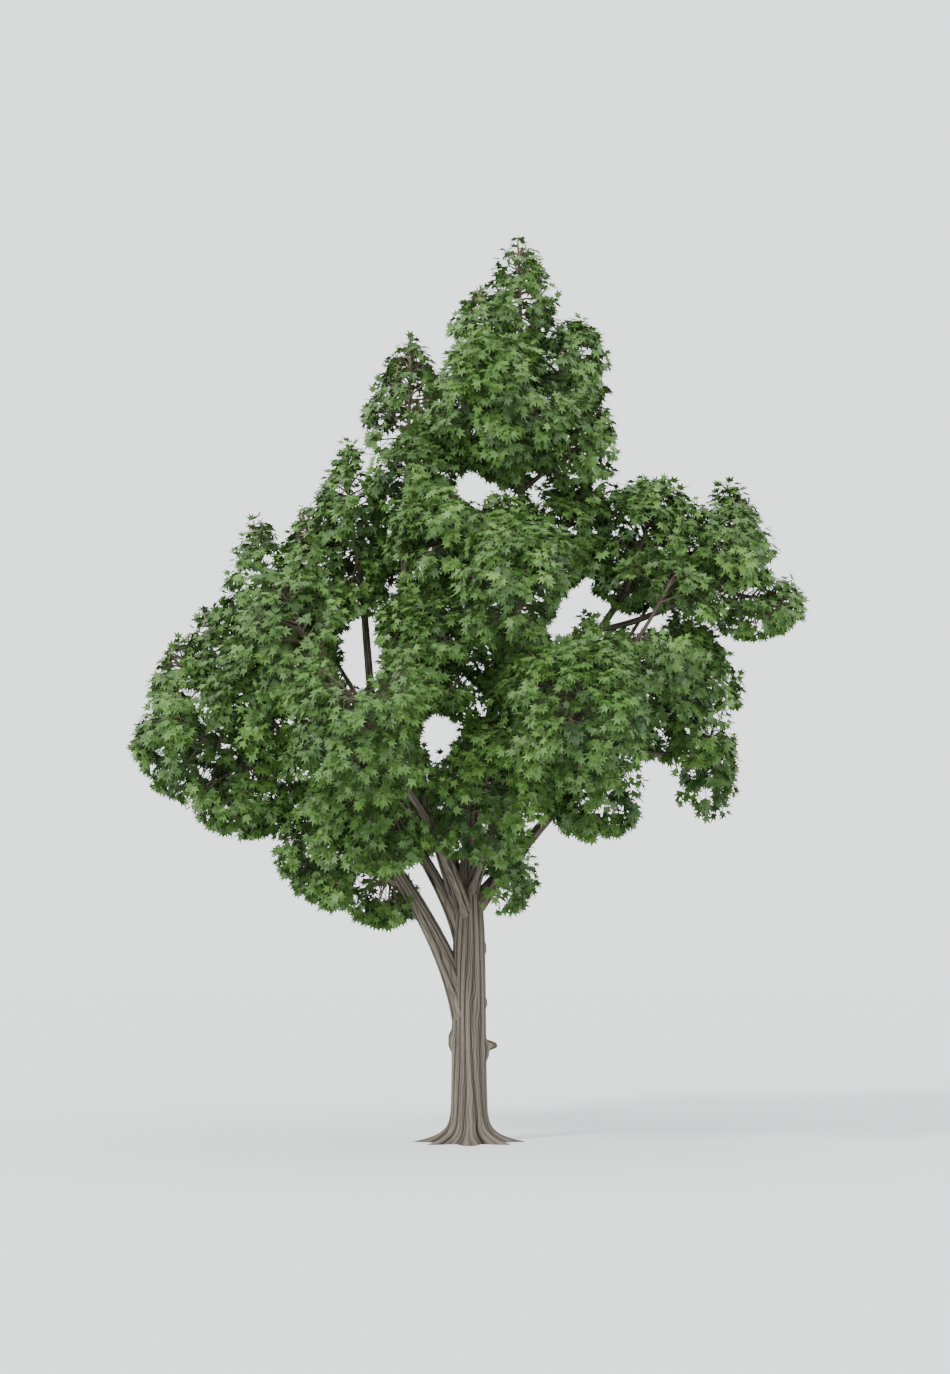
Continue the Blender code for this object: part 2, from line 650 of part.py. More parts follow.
def main():
    """Build the whole tree."""
    clear_scene()
    plan_limbs()
    masses = plan_masses()
    stems = {name: plan_stem(*row) for name, row in masses.items()}
    crown = Crown(masses, stems)
    bark = material("furrowed_bark", BARK_COLOUR, 0.85)
    greens = [material(f"leaf_green_{k + 1}", colour, 0.5) for k, colour in enumerate(LEAF_COLOURS)]
    make_limbs(bark)
    taken = {name: object_shape(name) for name in limb_paths}
    for name, points in stems.items():
        path = bend(*points, STEM_STEPS)
        taken[name] = tube_mesh(path, np.linspace(*STEM_RADIUS, len(path)), STEM_SIDES)
    sprays = 0
    for k, (name, row) in enumerate(masses.items()):
        sprays += grow_mass(name, row, stems[name], crown, taken, greens[k % len(greens)])
    print("masses", len(masses), "sprays", sprays)


if __name__ == "__main__":
    main()
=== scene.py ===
# %% [markdown]
# # A sweetgum tree in summer leaf
#
# The tree stands 20 m tall on level ground. A fluted trunk flares into its roots, forks about
# 5 m up, and its leader runs on to the top. Around it the crown is made of many masses of
# foliage. Each mass keeps to a space of its own, so sky shows between some of them. Here each
# limb gets its bark, and each mass is grown from its stem: branches, twigs, shoots and leaves.

# %% [markdown]
# ## Frame
#
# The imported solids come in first, with the origin in the middle of the trunk's flat cut and +Z
# up. Every piece made below rides on the tree's one body.

import math
import random

import bpy
import numpy as np
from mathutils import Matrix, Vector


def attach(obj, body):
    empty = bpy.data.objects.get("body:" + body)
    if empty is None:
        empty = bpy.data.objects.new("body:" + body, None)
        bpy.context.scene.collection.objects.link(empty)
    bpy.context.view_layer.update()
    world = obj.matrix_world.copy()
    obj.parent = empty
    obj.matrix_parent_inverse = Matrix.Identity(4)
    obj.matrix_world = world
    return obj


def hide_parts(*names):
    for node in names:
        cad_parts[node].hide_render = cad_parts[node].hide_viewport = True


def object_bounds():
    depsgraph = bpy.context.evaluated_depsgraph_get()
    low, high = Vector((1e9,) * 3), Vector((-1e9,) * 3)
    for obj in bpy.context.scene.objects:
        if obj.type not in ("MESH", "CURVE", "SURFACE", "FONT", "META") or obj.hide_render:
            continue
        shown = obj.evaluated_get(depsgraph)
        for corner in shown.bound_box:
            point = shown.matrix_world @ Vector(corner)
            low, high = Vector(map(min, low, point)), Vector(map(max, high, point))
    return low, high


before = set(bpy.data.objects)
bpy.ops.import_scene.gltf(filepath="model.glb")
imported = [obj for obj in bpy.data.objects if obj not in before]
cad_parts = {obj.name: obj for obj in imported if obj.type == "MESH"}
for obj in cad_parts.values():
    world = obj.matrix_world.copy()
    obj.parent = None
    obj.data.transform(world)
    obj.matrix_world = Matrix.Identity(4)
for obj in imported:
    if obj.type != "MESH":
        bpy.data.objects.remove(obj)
solid_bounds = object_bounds()
print("solids", len(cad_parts))
print("box", [[round(v, 2) for v in corner] for corner in solid_bounds])

# %% [markdown]
# ## Sizes of the limbs
#
# Lengths are metres. The trunk's girth is a table of heights and radii, because it loses
# thickness wherever a bough leaves it. A bough is a curve that leaves its parent towards an
# elbow and ends where it enters its mass of leaves.

# %% Named sizes of the trunk
UP = np.array([0.0, 0.0, 1.0])
GOLDEN_TURN = math.radians(137.5)
TINY = 1e-9                 # keeps a division safe, and lets a tie count

TRUNK_TOP = 17.75
TRUNK_POINTS = 40
TRUNK_GIRTH = (             # height, radius
    (0.0, 0.395), (3.3, 0.36), (4.6, 0.34), (5.5, 0.27), (6.3, 0.18),
    (7.5, 0.145), (11.7, 0.105), (14.5, 0.075), (TRUNK_TOP, 0.045),
)
LEADER_SWING = 1.15         # how far the leader moves to the right above the fork
SWING_START = 6.0
SWING_END = 13.5
LEADER_WAVE = 0.18
FLARE_REACH = 0.83          # how far the root ridges stand out at the ground
FLARE_HEIGHT = 0.16         # height over which they lose most of that
ROOT_RIDGES = 8
ROOT_GROOVE = 0.55          # share of the flare that is missing between two ridges
print("trunk", TRUNK_TOP, "m to the foot of the top mass,", 2.0 * TRUNK_GIRTH[0][1], "m thick")

# %% Named sizes of the boughs
# Parent, how far along it, tip, early spread and early climb, radii at foot and tip.
# On the trunk the place is a height, and on a bough a share of its length.
BOUGHS = {
    "low_left_bough": ("trunk", 2.55, (-4.05, -0.1, 8.85), 0.21, 0.50, 0.230, 0.075),
    "left_bough": ("trunk", 3.90, (-3.85, 0.35, 9.75), 0.14, 0.42, 0.150, 0.070),
    "inner_left_bough": ("trunk", 4.70, (-1.40, -0.3, 13.2), 1.15, 0.43, 0.120, 0.065),
    "right_bough": ("trunk", 5.00, (3.30, 0.1, 8.9), 0.45, 0.48, 0.135, 0.070),
    "upper_right_bough": ("trunk", 8.20, (3.45, 0.0, 12.1), 0.45, 0.32, 0.110, 0.070),
    "front_left_bough": ("trunk", 4.75, (-1.9, -3.6, 8.5), 0.30, 0.60, 0.120, 0.065),
    "front_right_bough": ("trunk", 5.35, (1.9, -3.7, 8.7), 0.30, 0.60, 0.115, 0.065),
    "back_left_bough": ("trunk", 4.95, (-1.8, 3.6, 8.6), 0.30, 0.60, 0.120, 0.065),
    "back_right_bough": ("trunk", 5.50, (1.9, 3.6, 8.7), 0.30, 0.60, 0.115, 0.065),
    "upright_bough": ("left_bough", 0.67, (-2.35, 0.1, 12.3), 0.60, 0.50, 0.105, 0.070),
    "low_left_spur": ("low_left_bough", 0.50, (-2.30, 0.1, 6.30), 0.60, 0.20, 0.075, 0.055),
    "right_arm": ("upper_right_bough", 0.80, (5.45, 0.1, 12.35), 0.45, 0.15, 0.075, 0.055),
}
LIMB_STEPS = 6              # straight steps in the middle line of a bough
print("boughs", len(BOUGHS))

# %% [markdown]
# ## Middle lines of the limbs
#
# A middle line and its radii are all that the bark, the stems and the tests of free space need.
# The trunk's line is a function of height. A bough's line could be drawn by hand, but a weighted
# mean of its start, elbow and tip needs only two numbers to leave one way and end another.

# %% Middle lines and radii
def unit(vectors):
    """Each vector divided by its own length."""
    vectors = np.asarray(vectors, float)
    lengths = np.linalg.norm(vectors, axis=-1, keepdims=True)
    return vectors / np.maximum(lengths, TINY)


def smooth_step(value):
    """Zero below 0, one above 1, and between them 3 times the square less 2 times the cube."""
    value = np.clip(value, 0.0, 1.0)
    return value * value * (3.0 - 2.0 * value)


def trunk_centre(heights):
    """The middle of the trunk: straight to the fork, then a smooth swing to the right."""
    heights = np.asarray(heights, float)
    swing = LEADER_SWING * smooth_step((heights - SWING_START) / (SWING_END - SWING_START))
    wave = LEADER_WAVE * np.sin(np.pi * np.maximum(heights - SWING_START, 0.0) / SWING_END)
    return np.stack([swing, wave, heights], axis=-1)


def trunk_radius(heights):
    """The bare radius of the trunk, read off its table of girths."""
    return np.interp(heights, [row[0] for row in TRUNK_GIRTH], [row[1] for row in TRUNK_GIRTH])


def bend(start, elbow, end, steps):
    """A curve from start to end that leaves towards the elbow, as a weighted mean of the three."""
    t = np.linspace(0.0, 1.0, steps + 1)[:, None]
    early = (1 - t) ** 2 * np.asarray(start) + 2 * t * (1 - t) * np.asarray(elbow)
    return early + t ** 2 * np.asarray(end)


def limb_paths():
    """Name to points and radii for the trunk and every bough, in the order they grow."""
    heights = np.linspace(0.0, TRUNK_TOP, TRUNK_POINTS)
    paths = {"trunk": (trunk_centre(heights), trunk_radius(heights))}
    for name, (parent, place, tip, spread, climb, foot, point) in BOUGHS.items():
        if parent == "trunk":
            start = trunk_centre(place)
        else:
            points = paths[parent][0]
            start = points[int(round(place * (len(points) - 1)))]
        travel = np.array(tip) - start
        elbow = start + travel * np.array([spread, spread, climb])
        points = bend(start, elbow, tip, LIMB_STEPS)
        paths[name] = (points, np.linspace(foot, point, len(points)))
    return paths


limbs = limb_paths()
print("limbs", len(limbs), "with", sum(len(path) for path, radii in limbs.values()), "points")

# %% [markdown]
# ## The masses of foliage and the sky between them
#
# Each mass is an ellipsoid with a bearer. Where two of them meet, a point belongs to the one
# whose middle is nearer in terms of its own radii, so no two masses share a space. The sky
# windows are ellipses that stay open through the whole depth of the crown.

# %% Sky windows
SKY_WINDOWS = {             # x, z, half width, half height, how far it leans right on its way up
    "upper_window": (0.14, 14.42, 0.50, 0.42, 0.0),
    "slanted_window": (2.22, 11.75, 0.42, 0.82, 0.45),
    "right_window": (3.87, 11.50, 0.55, 0.28, 0.0),
    "left_window": (-2.40, 10.80, 0.55, 0.88, 0.0),
    "middle_window": (-0.66, 9.05, 0.54, 0.50, 0.0),
}
print("sky windows", len(SKY_WINDOWS))

# %% Masses that make the outline
# Centre, radii, what carries the mass, and where: a height, or how far back from a bough's tip
OUTLINE_MASSES = {
    "top_turret": ((1.10, 0.0, 18.60), (0.84, 1.0, 1.45), "trunk", TRUNK_TOP),
    "top_left_tuft": ((0.35, -0.3, 17.90), (0.75, 1.0, 1.10), "trunk", 16.75),
    "high_right_shoulder": ((2.18, 0.2, 16.95), (0.92, 1.3, 1.30), "trunk", 15.9),
    "low_right_shoulder": ((2.40, 0.2, 15.30), (0.85, 1.3, 1.35), "trunk", 14.3),
    "left_turret_1": ((-1.30, 0.1, 16.20), (1.04, 1.3, 1.56), "inner_left_bough", 0.0),
    "left_shoulder": ((-0.88, -0.6, 14.55), (1.32, 1.8, 1.30), "inner_left_bough", 0.60),
    "left_turret_2": ((-2.60, 0.0, 13.40), (1.02, 1.3, 2.15), "upright_bough", 0.0),
    "left_turret_3": ((-3.45, -0.1, 12.80), (0.74, 1.3, 1.44), "upright_bough", 0.25),
    "left_turret_4": ((-4.60, 0.1, 12.25), (0.82, 1.3, 1.64), "left_bough", 0.30),
    "left_turret_5": ((-5.55, 0.1, 10.75), (0.86, 1.3, 1.30), "left_bough", 0.0),
    "left_turret_6": ((-6.28, 0.0, 9.90), (0.83, 1.3, 1.36), "left_bough", 0.55),
    "left_inner_mass": ((-3.70, 0.2, 10.95), (1.25, 1.8, 1.35), "left_bough", 0.95),
    "left_tip_mass": ((-6.10, 0.0, 8.75), (1.30, 1.7, 1.25), "low_left_bough", 0.30),
    "left_middle_mass": ((-4.70, -0.6, 9.80), (1.45, 1.8, 1.45), "low_left_bough", 0.0),
    "left_hanging_mass": ((-4.90, 0.1, 8.02), (1.46, 1.8, 1.30), "low_left_bough", 0.60),
    "low_left_mass": ((-2.88, 0.0, 6.72), (1.46, 1.8, 1.62), "low_left_spur", 0.0),
    "low_left_tuft": ((-1.90, 0.2, 5.50), (0.88, 1.0, 0.78), "low_left_spur", 0.20),
    "right_crest": ((3.85, 0.0, 13.15), (1.55, 1.8, 1.50), "upper_right_bough", 0.0),
    "right_turret": ((5.68, 0.0, 13.15), (1.05, 1.4, 1.50), "right_arm", 0.0),
    "right_beak": ((6.18, 0.0, 11.86), (1.20, 1.2, 0.76), "right_arm", 0.22),
    "right_inner_mass": ((2.20, 0.0, 13.40), (1.30, 1.8, 1.25), "trunk", 12.3),
    "right_middle_mass": ((4.28, 0.0, 10.02), (1.75, 2.0, 1.62), "right_bough", 0.0),
    "right_hanging_tip": ((5.12, 0.0, 8.20), (0.78, 1.2, 1.50), "right_bough", 0.22),
    "low_right_mass": ((2.75, 0.0, 8.02), (1.32, 1.8, 1.34), "right_bough", 0.50),
    "low_right_tuft": ((0.78, -0.4, 6.08), (0.76, 1.3, 1.00), "trunk", 4.55),
}
print("outline masses", len(OUTLINE_MASSES))

# %% Masses in front of the trunk and behind it
# The same, with the depth before or behind the trunk as the centre's middle number
DEPTH_MASSES = {
    "upper_mass": ((0.80, 1.35, 16.02), (1.70, 1.60, 1.72), "trunk", 15.2),
    "high_mass": ((-0.22, 1.80, 13.22), (1.80, 1.75, 1.45), "trunk", 11.6),
    "crest_mass": ((0.90, 3.60, 12.30), (1.70, 1.60, 1.60), "trunk", 9.3),
    "inner_left_mass": ((-0.75, 2.10, 10.95), (1.60, 1.70, 1.60), "trunk", 9.7),
    "inner_right_mass": ((1.85, 2.00, 10.20), (1.60, 1.70, 1.60), "trunk", 8.8),
    "low_middle_mass": ((0.50, 1.90, 7.75), (1.60, 1.60, 1.70), "trunk", 6.3),
    "low_inner_mass": ((-1.85, 2.20, 7.45), (1.50, 1.60, 1.45), "left", 1.3),
    "outer_left_mass": ((-2.20, 4.60, 9.30), (1.85, 1.62, 1.70), "left", 0.0),
    "outer_right_mass": ((2.30, 4.55, 9.40), (1.85, 1.62, 1.70), "right", 0.0),
    "far_left_mass": ((-3.60, 2.40, 11.10), (1.50, 1.60, 1.55), "left", 0.30),
    "far_right_mass": ((4.10, 2.20, 11.60), (1.55, 1.50, 1.55), "right", 0.30),
}
DEPTH_JITTER = 0.15         # how unlike the front and back masses are in place


def plan_masses():
    """Name to centre, radii, bearer and place of all the masses."""
    planned = dict(OUTLINE_MASSES)
    for name, (centre, radii, bearer, place) in DEPTH_MASSES.items():
        for word, side in (("front", -1.0), ("back", 1.0)):
            chance = random.Random(word + name)
            x, depth, height = (v + chance.uniform(-DEPTH_JITTER, DEPTH_JITTER) for v in centre)
            carrier = bearer if bearer == "trunk" else f"{word}_{bearer}_bough"
            planned[f"{word}_{name}"] = ((x, side * depth, height), radii, carrier, place)
    return planned


masses = plan_masses()
print("masses in all", len(masses))

# %% [markdown]
# ## Stems
#
# A mass hangs on one stem, which starts inside the tip of its bough or in the trunk. Turrets and
# tufts narrow to a point, and there the stem runs almost to the top and turns up more strongly.

# %% One stem for each mass
POINTED = ("turret", "tuft")    # words in the names of masses that narrow to a point
POINT_TAPER = 0.58          # share of its width that a pointed mass loses on its way up
STEM_SINK = 0.05            # how deep in the tip of its bearer a stem starts
STEM_CREST = 0.55           # how far past the centre a stem runs on its way to the edge
POINTED_CREST = 0.85        # the same in a pointed mass, whose tip it bears
UPTURN = 1.2                # how strongly a stem turns up, more in a tall mass
STEM_STEPS = 12


def is_pointed(name):
    """Whether a mass narrows to a point."""
    return any(word in name for word in POINTED)


def plan_stem(name):
    """A mass's stem: from inside its bearer through its centre, and up towards its crest."""
    centre, radii, bearer, place = masses[name]
    if bearer == "trunk":
        start = trunk_centre(min(place, TRUNK_TOP - STEM_SINK))
    else:
        path = limbs[bearer][0]
        lengths = np.linalg.norm(np.diff(path, axis=0), axis=1)
        along = np.concatenate([[0.0], np.cumsum(lengths)])
        spot = along[-1] - max(place, STEM_SINK)
        start = np.array([np.interp(spot, along, path[:, axis]) for axis in range(3)])
    centre = np.array(centre)
    radii = np.array(radii)
    upright = 2.0 * radii[2] / (radii[0] + radii[1])
    heading = unit(unit((centre - start) / radii) + UPTURN * upright * UP)
    crest = POINTED_CREST if is_pointed(name) else STEM_CREST
    return bend(start, centre, centre + crest * radii * heading, STEM_STEPS)


mass_names = list(masses)
centres = np.array([row[0] for row in masses.values()])
spreads = np.array([row[1] for row in masses.values()])
tapers_up = POINT_TAPER * np.array([is_pointed(name) for name in masses], float)
stems = np.array([plan_stem(name) for name in masses])
print("stems", len(stems), "of them to a pointed top", int((tapers_up > 0.0).sum()))

# %% [markdown]
# ## The rule of free space
#
# A twig or leaf may grow only where its own mass is the nearest, outside every sky window, and
# a little clear of the trunk and the boughs. All points are tested together as arrays. The
# depth of the masses sways a little, because plain ellipsoids look like balls from the side.

# %% How far out a point lies in each mass
CHUNK = 6000                # points tested at a time, to keep the arrays small
BOX_SLACK = 0.18            # how far the twigs and leaves may pass the box of the solids
SWAY_DEPTH = 0.30           # metres by which the masses' depth sways
SWAY_WAVES = (              # turn for each metre of height and of width, start, strength
    (1.5, 1.1, 0.6, 1.0), (-2.2, 2.6, 2.0, 0.6),
)

lowest = np.array(solid_bounds[0]) - BOX_SLACK
highest = np.array(solid_bounds[1]) + BOX_SLACK


def in_box(points):
    """True where a point lies in the box of the solids, or so little outside that it counts."""
    return ((points > lowest) & (points < highest)).all(axis=1)


def swayed(points):
    """The points with their depth shifted by two sines of height and width.

    Seen from the front, the outline stays as it is.
    """
    x, z = points[:, 0], points[:, 2]
    shift = sum(strength * np.sin(rise * z + across * x + start)
                for rise, across, start, strength in SWAY_WAVES)
    return points + SWAY_DEPTH * shift[:, None] * np.array([0.0, 1.0, 0.0])


def measures_of(points):
    """How far out each point lies in each mass, in shares of a radius that narrows upwards."""
    offsets = (swayed(points)[:, None] - centres) / spreads
    offsets[:, :, :2] /= (1.0 - tapers_up * np.clip(offsets[:, :, 2], 0.0, 1.0))[:, :, None]
    return np.linalg.norm(offsets, axis=2)


print("growth stays between", lowest.round(2), "and", highest.round(2))

# %% Free space and the way out of it
SPACE_EDGE = 0.97           # share of a mass's radii that twigs may reach
LEAF_MARGIN = 0.12          # how far outside that edge a leaf may stand, in metres
LIMB_CLEARANCE = 0.03       # metres between growth and the bare wood of a limb

segment_starts = np.vstack([path[:-1] for path, radii in limbs.values()])
segment_runs = np.vstack([np.diff(path, axis=0) for path, radii in limbs.values()])
segment_radii = np.concatenate([radii[:-1] for path, radii in limbs.values()])
segment_squares = (segment_runs ** 2).sum(axis=1)


def free_chunk(points, owners):
    """True where a point lies in its owner's space, clear of sky windows and limbs."""
    measures = measures_of(points)
    mine = measures[np.arange(len(points)), owners]
    free = (mine < SPACE_EDGE) & (mine <= measures.min(axis=1) + TINY)
    for x, z, half_width, half_height, lean in SKY_WINDOWS.values():
        above = points[:, 2] - z
        across = (points[:, 0] - x - lean * above) / half_width
        free &= np.hypot(across, above / half_height) > 1.0
    away = points[:, None] - segment_starts
    share = np.clip((away * segment_runs).sum(axis=2) / segment_squares, 0.0, 1.0)
    gap = np.linalg.norm(away - share[:, :, None] * segment_runs, axis=2) - segment_radii
    return free & in_box(points) & (gap.min(axis=1) > LIMB_CLEARANCE)


def free_space(points, owners):
    """The same test for any number of points, a chunk at a time."""
    tests = [free_chunk(points[k:k + CHUNK], owners[k:k + CHUNK])
             for k in range(0, len(points), CHUNK)]
    return np.concatenate(tests)


def drawn_in(points, owners):
    """The points moved by a leaf's margin towards the middles of their masses."""
    return points + LEAF_MARGIN * unit(centres[owners] - points)


def within_outline(points):
    """True where a point lies in any mass."""
    nearest = [measures_of(points[k:k + CHUNK]).min(axis=1) for k in range(0, len(points), CHUNK)]
    return (np.concatenate(nearest) < 1.0) & in_box(points)


def way_out(feet, ways, owners, furthest, step):
    """How far each ray runs from its foot before it leaves its owner's space."""
    distances = np.arange(step, furthest + step, step)
    points = feet[:, None] + distances[:, None] * ways[:, None]
    inside = free_space(points.reshape(-1, 3), np.repeat(owners, len(distances)))
    inside = inside.reshape(len(feet), len(distances))
    first_out = np.where(inside.all(axis=1), len(distances), np.argmin(inside, axis=1))
    return first_out * step


middles_free = free_space(centres, np.arange(len(masses)))
print("middles of masses in their own free space", int(middles_free.sum()), "of", len(masses))

# %% [markdown]
# ## Branches, twigs and shoots
#
# Growth runs in three orders. Branches leave a mass's stem a golden turn apart and run most of
# the way to the edge of its space. Twigs leave the branches, and leafy shoots leave the twigs.
# Each order is shorter, finer and more drooping than the one before, and where it would leave
# the space it stops short or isn't grown. The rule is written once and given each order's habit.

# %% The rule by which each order grows
SHORTEST = 0.07             # growth shorter than this isn't grown
UNEVEN = 0.3                # how far growth is from being evenly spaced, in shares of a space
LEAN_CHANCE = 0.15          # radians by which the lean differs from one to the next
STEEP = 0.9                 # upward share of a way, above which it is set square to x
LAST_SHARE = 0.999          # keeps the far end of a path in its last step

rng = np.random.default_rng(1905)


def frames(ways):
    """Two unit vectors square to each way and to each other."""
    helper = np.where(np.abs(ways[:, 2:3]) < STEEP, UP, np.array([1.0, 0.0, 0.0]))
    side = unit(np.cross(ways, helper))
    return side, np.cross(ways, side)


def arcs(feet, ways, lengths, sag, steps):
    """Curves that leave their feet along their ways and sag in proportion to their length."""
    ends = feet + lengths[:, None] * unit(ways - sag[:, None] * UP)
    elbows = feet + 0.5 * lengths[:, None] * ways
    t = np.linspace(0.0, 1.0, steps + 1)[None, :, None]
    early = (1 - t) ** 2 * feet[:, None] + 2 * t * (1 - t) * elbows[:, None]
    return early + t ** 2 * ends[:, None]


def points_along(paths, rows, shares):
    """The point and the direction at a share of each chosen path's steps."""
    steps = paths.shape[1] - 1
    spot = np.clip(shares, 0.0, LAST_SHARE) * steps
    index = spot.astype(int)
    start = paths[rows, index]
    run = paths[rows, index + 1] - start
    return start + (spot - index)[:, None] * run, unit(run)


def children(paths, owners, counts, first, tilt, scatter, crowding):
    """Feet, ways and owners of new growth spread along each path from the first share on.

    Each stands a golden turn round from the one before, give or take the scatter. Its lean off
    the path falls from the second tilt at the foot to the first at the tip. The shares are
    even ones raised to the power of the crowding.
    """
    rows = np.repeat(np.arange(len(paths)), counts)
    order = np.concatenate([np.arange(count) for count in counts])
    even = (order + 0.5 + rng.uniform(-UNEVEN, UNEVEN, len(rows))) / counts[rows]
    shares = first + (1.0 - first) * even ** crowding
    feet, ahead = points_along(paths, rows, shares)
    side, other = frames(ahead)
    turn = order * GOLDEN_TURN + rng.uniform(0.0, 2.0 * np.pi, len(paths))[rows]
    turn += rng.uniform(-scatter, scatter, len(rows))
    around = np.cos(turn)[:, None] * side + np.sin(turn)[:, None] * other
    lean = np.interp(shares, (first, 1.0), (tilt[1], tilt[0]))
    lean = lean + rng.uniform(-LEAN_CHANCE, LEAN_CHANCE, len(rows))
    ways = unit(np.cos(lean)[:, None] * ahead + np.sin(lean)[:, None] * around)
    return rows, feet, ways, owners[rows]


print("seeded, golden turn", round(math.degrees(GOLDEN_TURN), 1), "degrees")

# %% Branches
BRANCHES_LEAST = 25.0       # branches of a very small mass
BRANCHES_PER_SQUARE = 8.6   # more for each square metre of its mean radius squared
POINTED_MORE = 0.45         # share of more branches on the longer stem of a pointed mass
BRANCH_FROM = 0.10          # how far along the stem, as a share, the lowest branch leaves
BRANCH_TILT = (0.15, 2.15)  # radians between a branch and the stem's direction, top and foot
BRANCH_SCATTER = 0.5        # radians
STEM_CROWDING = 0.90        # below one, growth crowds towards the far end of what bears it
BRANCH_REACH = 2.8          # longest way that a branch may have before it
BRANCH_SHARE = (0.70, 0.96)     # how much of its free way a branch takes, so outlines are ragged
BRANCH_SAG = (0.05, 0.30)
BRANCH_STEPS = 5
BRANCH_PACE = 0.06          # metres between two tests on the way out


def grow_branches():
    """Branches of every mass, each from its stem most of the way to the edge of its space."""
    sizes = spreads.mean(axis=1)
    counts = BRANCHES_LEAST + BRANCHES_PER_SQUARE * sizes ** 2
    counts = np.round(counts * (1.0 + POINTED_MORE * (tapers_up > 0.0))).astype(int)
    owners = np.arange(len(masses))
    rows, feet, ways, owners = children(
        stems, owners, counts, BRANCH_FROM, BRANCH_TILT, BRANCH_SCATTER, STEM_CROWDING)
    reach = way_out(feet, ways, owners, BRANCH_REACH, BRANCH_PACE)
    keep = reach > 2.0 * SHORTEST
    feet, ways, owners, reach = (a[keep] for a in (feet, ways, owners, reach))
    sag = rng.uniform(*BRANCH_SAG, len(feet))
    reach = reach * rng.uniform(*BRANCH_SHARE, len(feet))
    return arcs(feet, ways, reach, sag, BRANCH_STEPS), owners, reach


branches, branch_owners, branch_lengths = grow_branches()
print("branches", len(branches), "mean length", round(float(branch_lengths.mean()), 2), "m")

# %% Twigs and shoots
TWIG_HABIT = {              # tilts are at the tip and at the foot of what bears the growth
    "spacing": 0.155, "size": (0.38, 0.75), "tilt": (0.45, 1.05),
    "first": 0.18, "sag": (0.1, 0.5), "steps": 2,
}
SHOOT_HABIT = {
    "spacing": 0.165, "size": (0.20, 0.36), "tilt": (0.35, 1.0),
    "first": 0.15, "sag": (0.3, 0.9), "steps": 1,
}
TWIG_SCATTER = 0.6
TWIG_CROWDING = 0.62
TWIG_PACE = 0.05


def grow_order(paths, owners, lengths, spacing, size, tilt, first, sag, steps):
    """The next order of growth along the paths, cut back to the space that it has."""
    counts = np.maximum(np.round(lengths * (1.0 - first) / spacing).astype(int), 1)
    rows, feet, ways, owners = children(
        paths, owners, counts, first, tilt, TWIG_SCATTER, TWIG_CROWDING)
    wanted = rng.uniform(*size, len(rows))
    reach = np.minimum(way_out(feet, ways, owners, size[1], TWIG_PACE), wanted)
    keep = reach > SHORTEST
    rows, feet, ways, owners, reach = (a[keep] for a in (rows, feet, ways, owners, reach))
    droop = rng.uniform(*sag, len(rows))
    return arcs(feet, ways, reach, droop, steps), owners, reach, rows


twigs, twig_owners, twig_lengths, twig_rows = grow_order(
    branches, branch_owners, branch_lengths, **TWIG_HABIT)
shoots, shoot_owners, shoot_lengths, shoot_rows = grow_order(
    twigs, twig_owners, twig_lengths, **SHOOT_HABIT)
print("twigs", len(twigs), "shoots", len(shoots))
print("mean length of a shoot", round(float(shoot_lengths.mean()), 2), "m")

# %% [markdown]
# ## Leaves
#
# A sweetgum leaf is a star of five pointed lobes on a long stalk, folded a little along its
# midrib. It is drawn larger than life, so that the crown is full with fewer of them. Leaves
# stand round each shoot a golden turn apart and hang outwards and down.

# %% One leaf
LEAF_STALK = 0.35           # length of the stalk as a share of the leaf's width
STALK_HALF = 0.012          # half its thickness where it leaves the shoot, and how far it lifts
STALK_LIFT = 0.02
LEAF_FOLD = 0.16            # how far the lobes lift beside the midrib
LEAF_LOBES = (              # ahead and aside of the foot: notches and tips of one half
    (0.50, 0.13), (0.70, 0.50), (0.30, 0.30), (0.06, 0.42),
)


def leaf_template():
    """Corners as ahead, aside and up, and triangles, of one leaf of unit length on its stalk.

    Each half is a fan from the leaf's foot over its lobes, and the lobes rise with their
    distance from the midrib. The stalk is one thin triangle.
    """
    corners = [(0.0, 0.0, 0.0), (1.0, 0.0, 0.0)]
    for side in (1.0, -1.0):
        corners += [(u, side * v, LEAF_FOLD * v) for u, v in LEAF_LOBES]
    triangles = []
    for base, turned in ((2, False), (2 + len(LEAF_LOBES), True)):
        rim = [1, *range(base, base + len(LEAF_LOBES))]
        for a, b in zip(rim[:-1], rim[1:]):
            triangles.append((0, b, a) if turned else (0, a, b))
    stalk = len(corners)
    corners += [(-LEAF_STALK, side * STALK_HALF, STALK_LIFT) for side in (1.0, -1.0)]
    triangles.append((0, stalk, stalk + 1))
    return np.array(corners), np.array(triangles)


leaf_corners, leaf_triangles = leaf_template()
print("a leaf has", len(leaf_corners), "corners and", len(leaf_triangles), "triangles")

# %% Place the leaves
LEAF_WIDTH = (0.17, 0.25)
LEAVES_PER_SHOOT = 5
FIRST_LEAF = 0.3            # where along its shoot the first leaf stands, and how far on the last
LEAF_STRETCH = 0.69
LEAF_LEAN = (0.35, 0.85)    # share of a leaf's way that points out round the shoot
LEAF_HANG = (0.15, 0.75)    # how much more it points down
FACE_UP = 0.75              # how much a leaf's face looks up, outwards, and by chance elsewhere
FACE_OUT = 0.65
FACE_CHANCE = 0.45
TESTED_SHARE = 0.6          # how far along its blade a leaf is tested against the outline


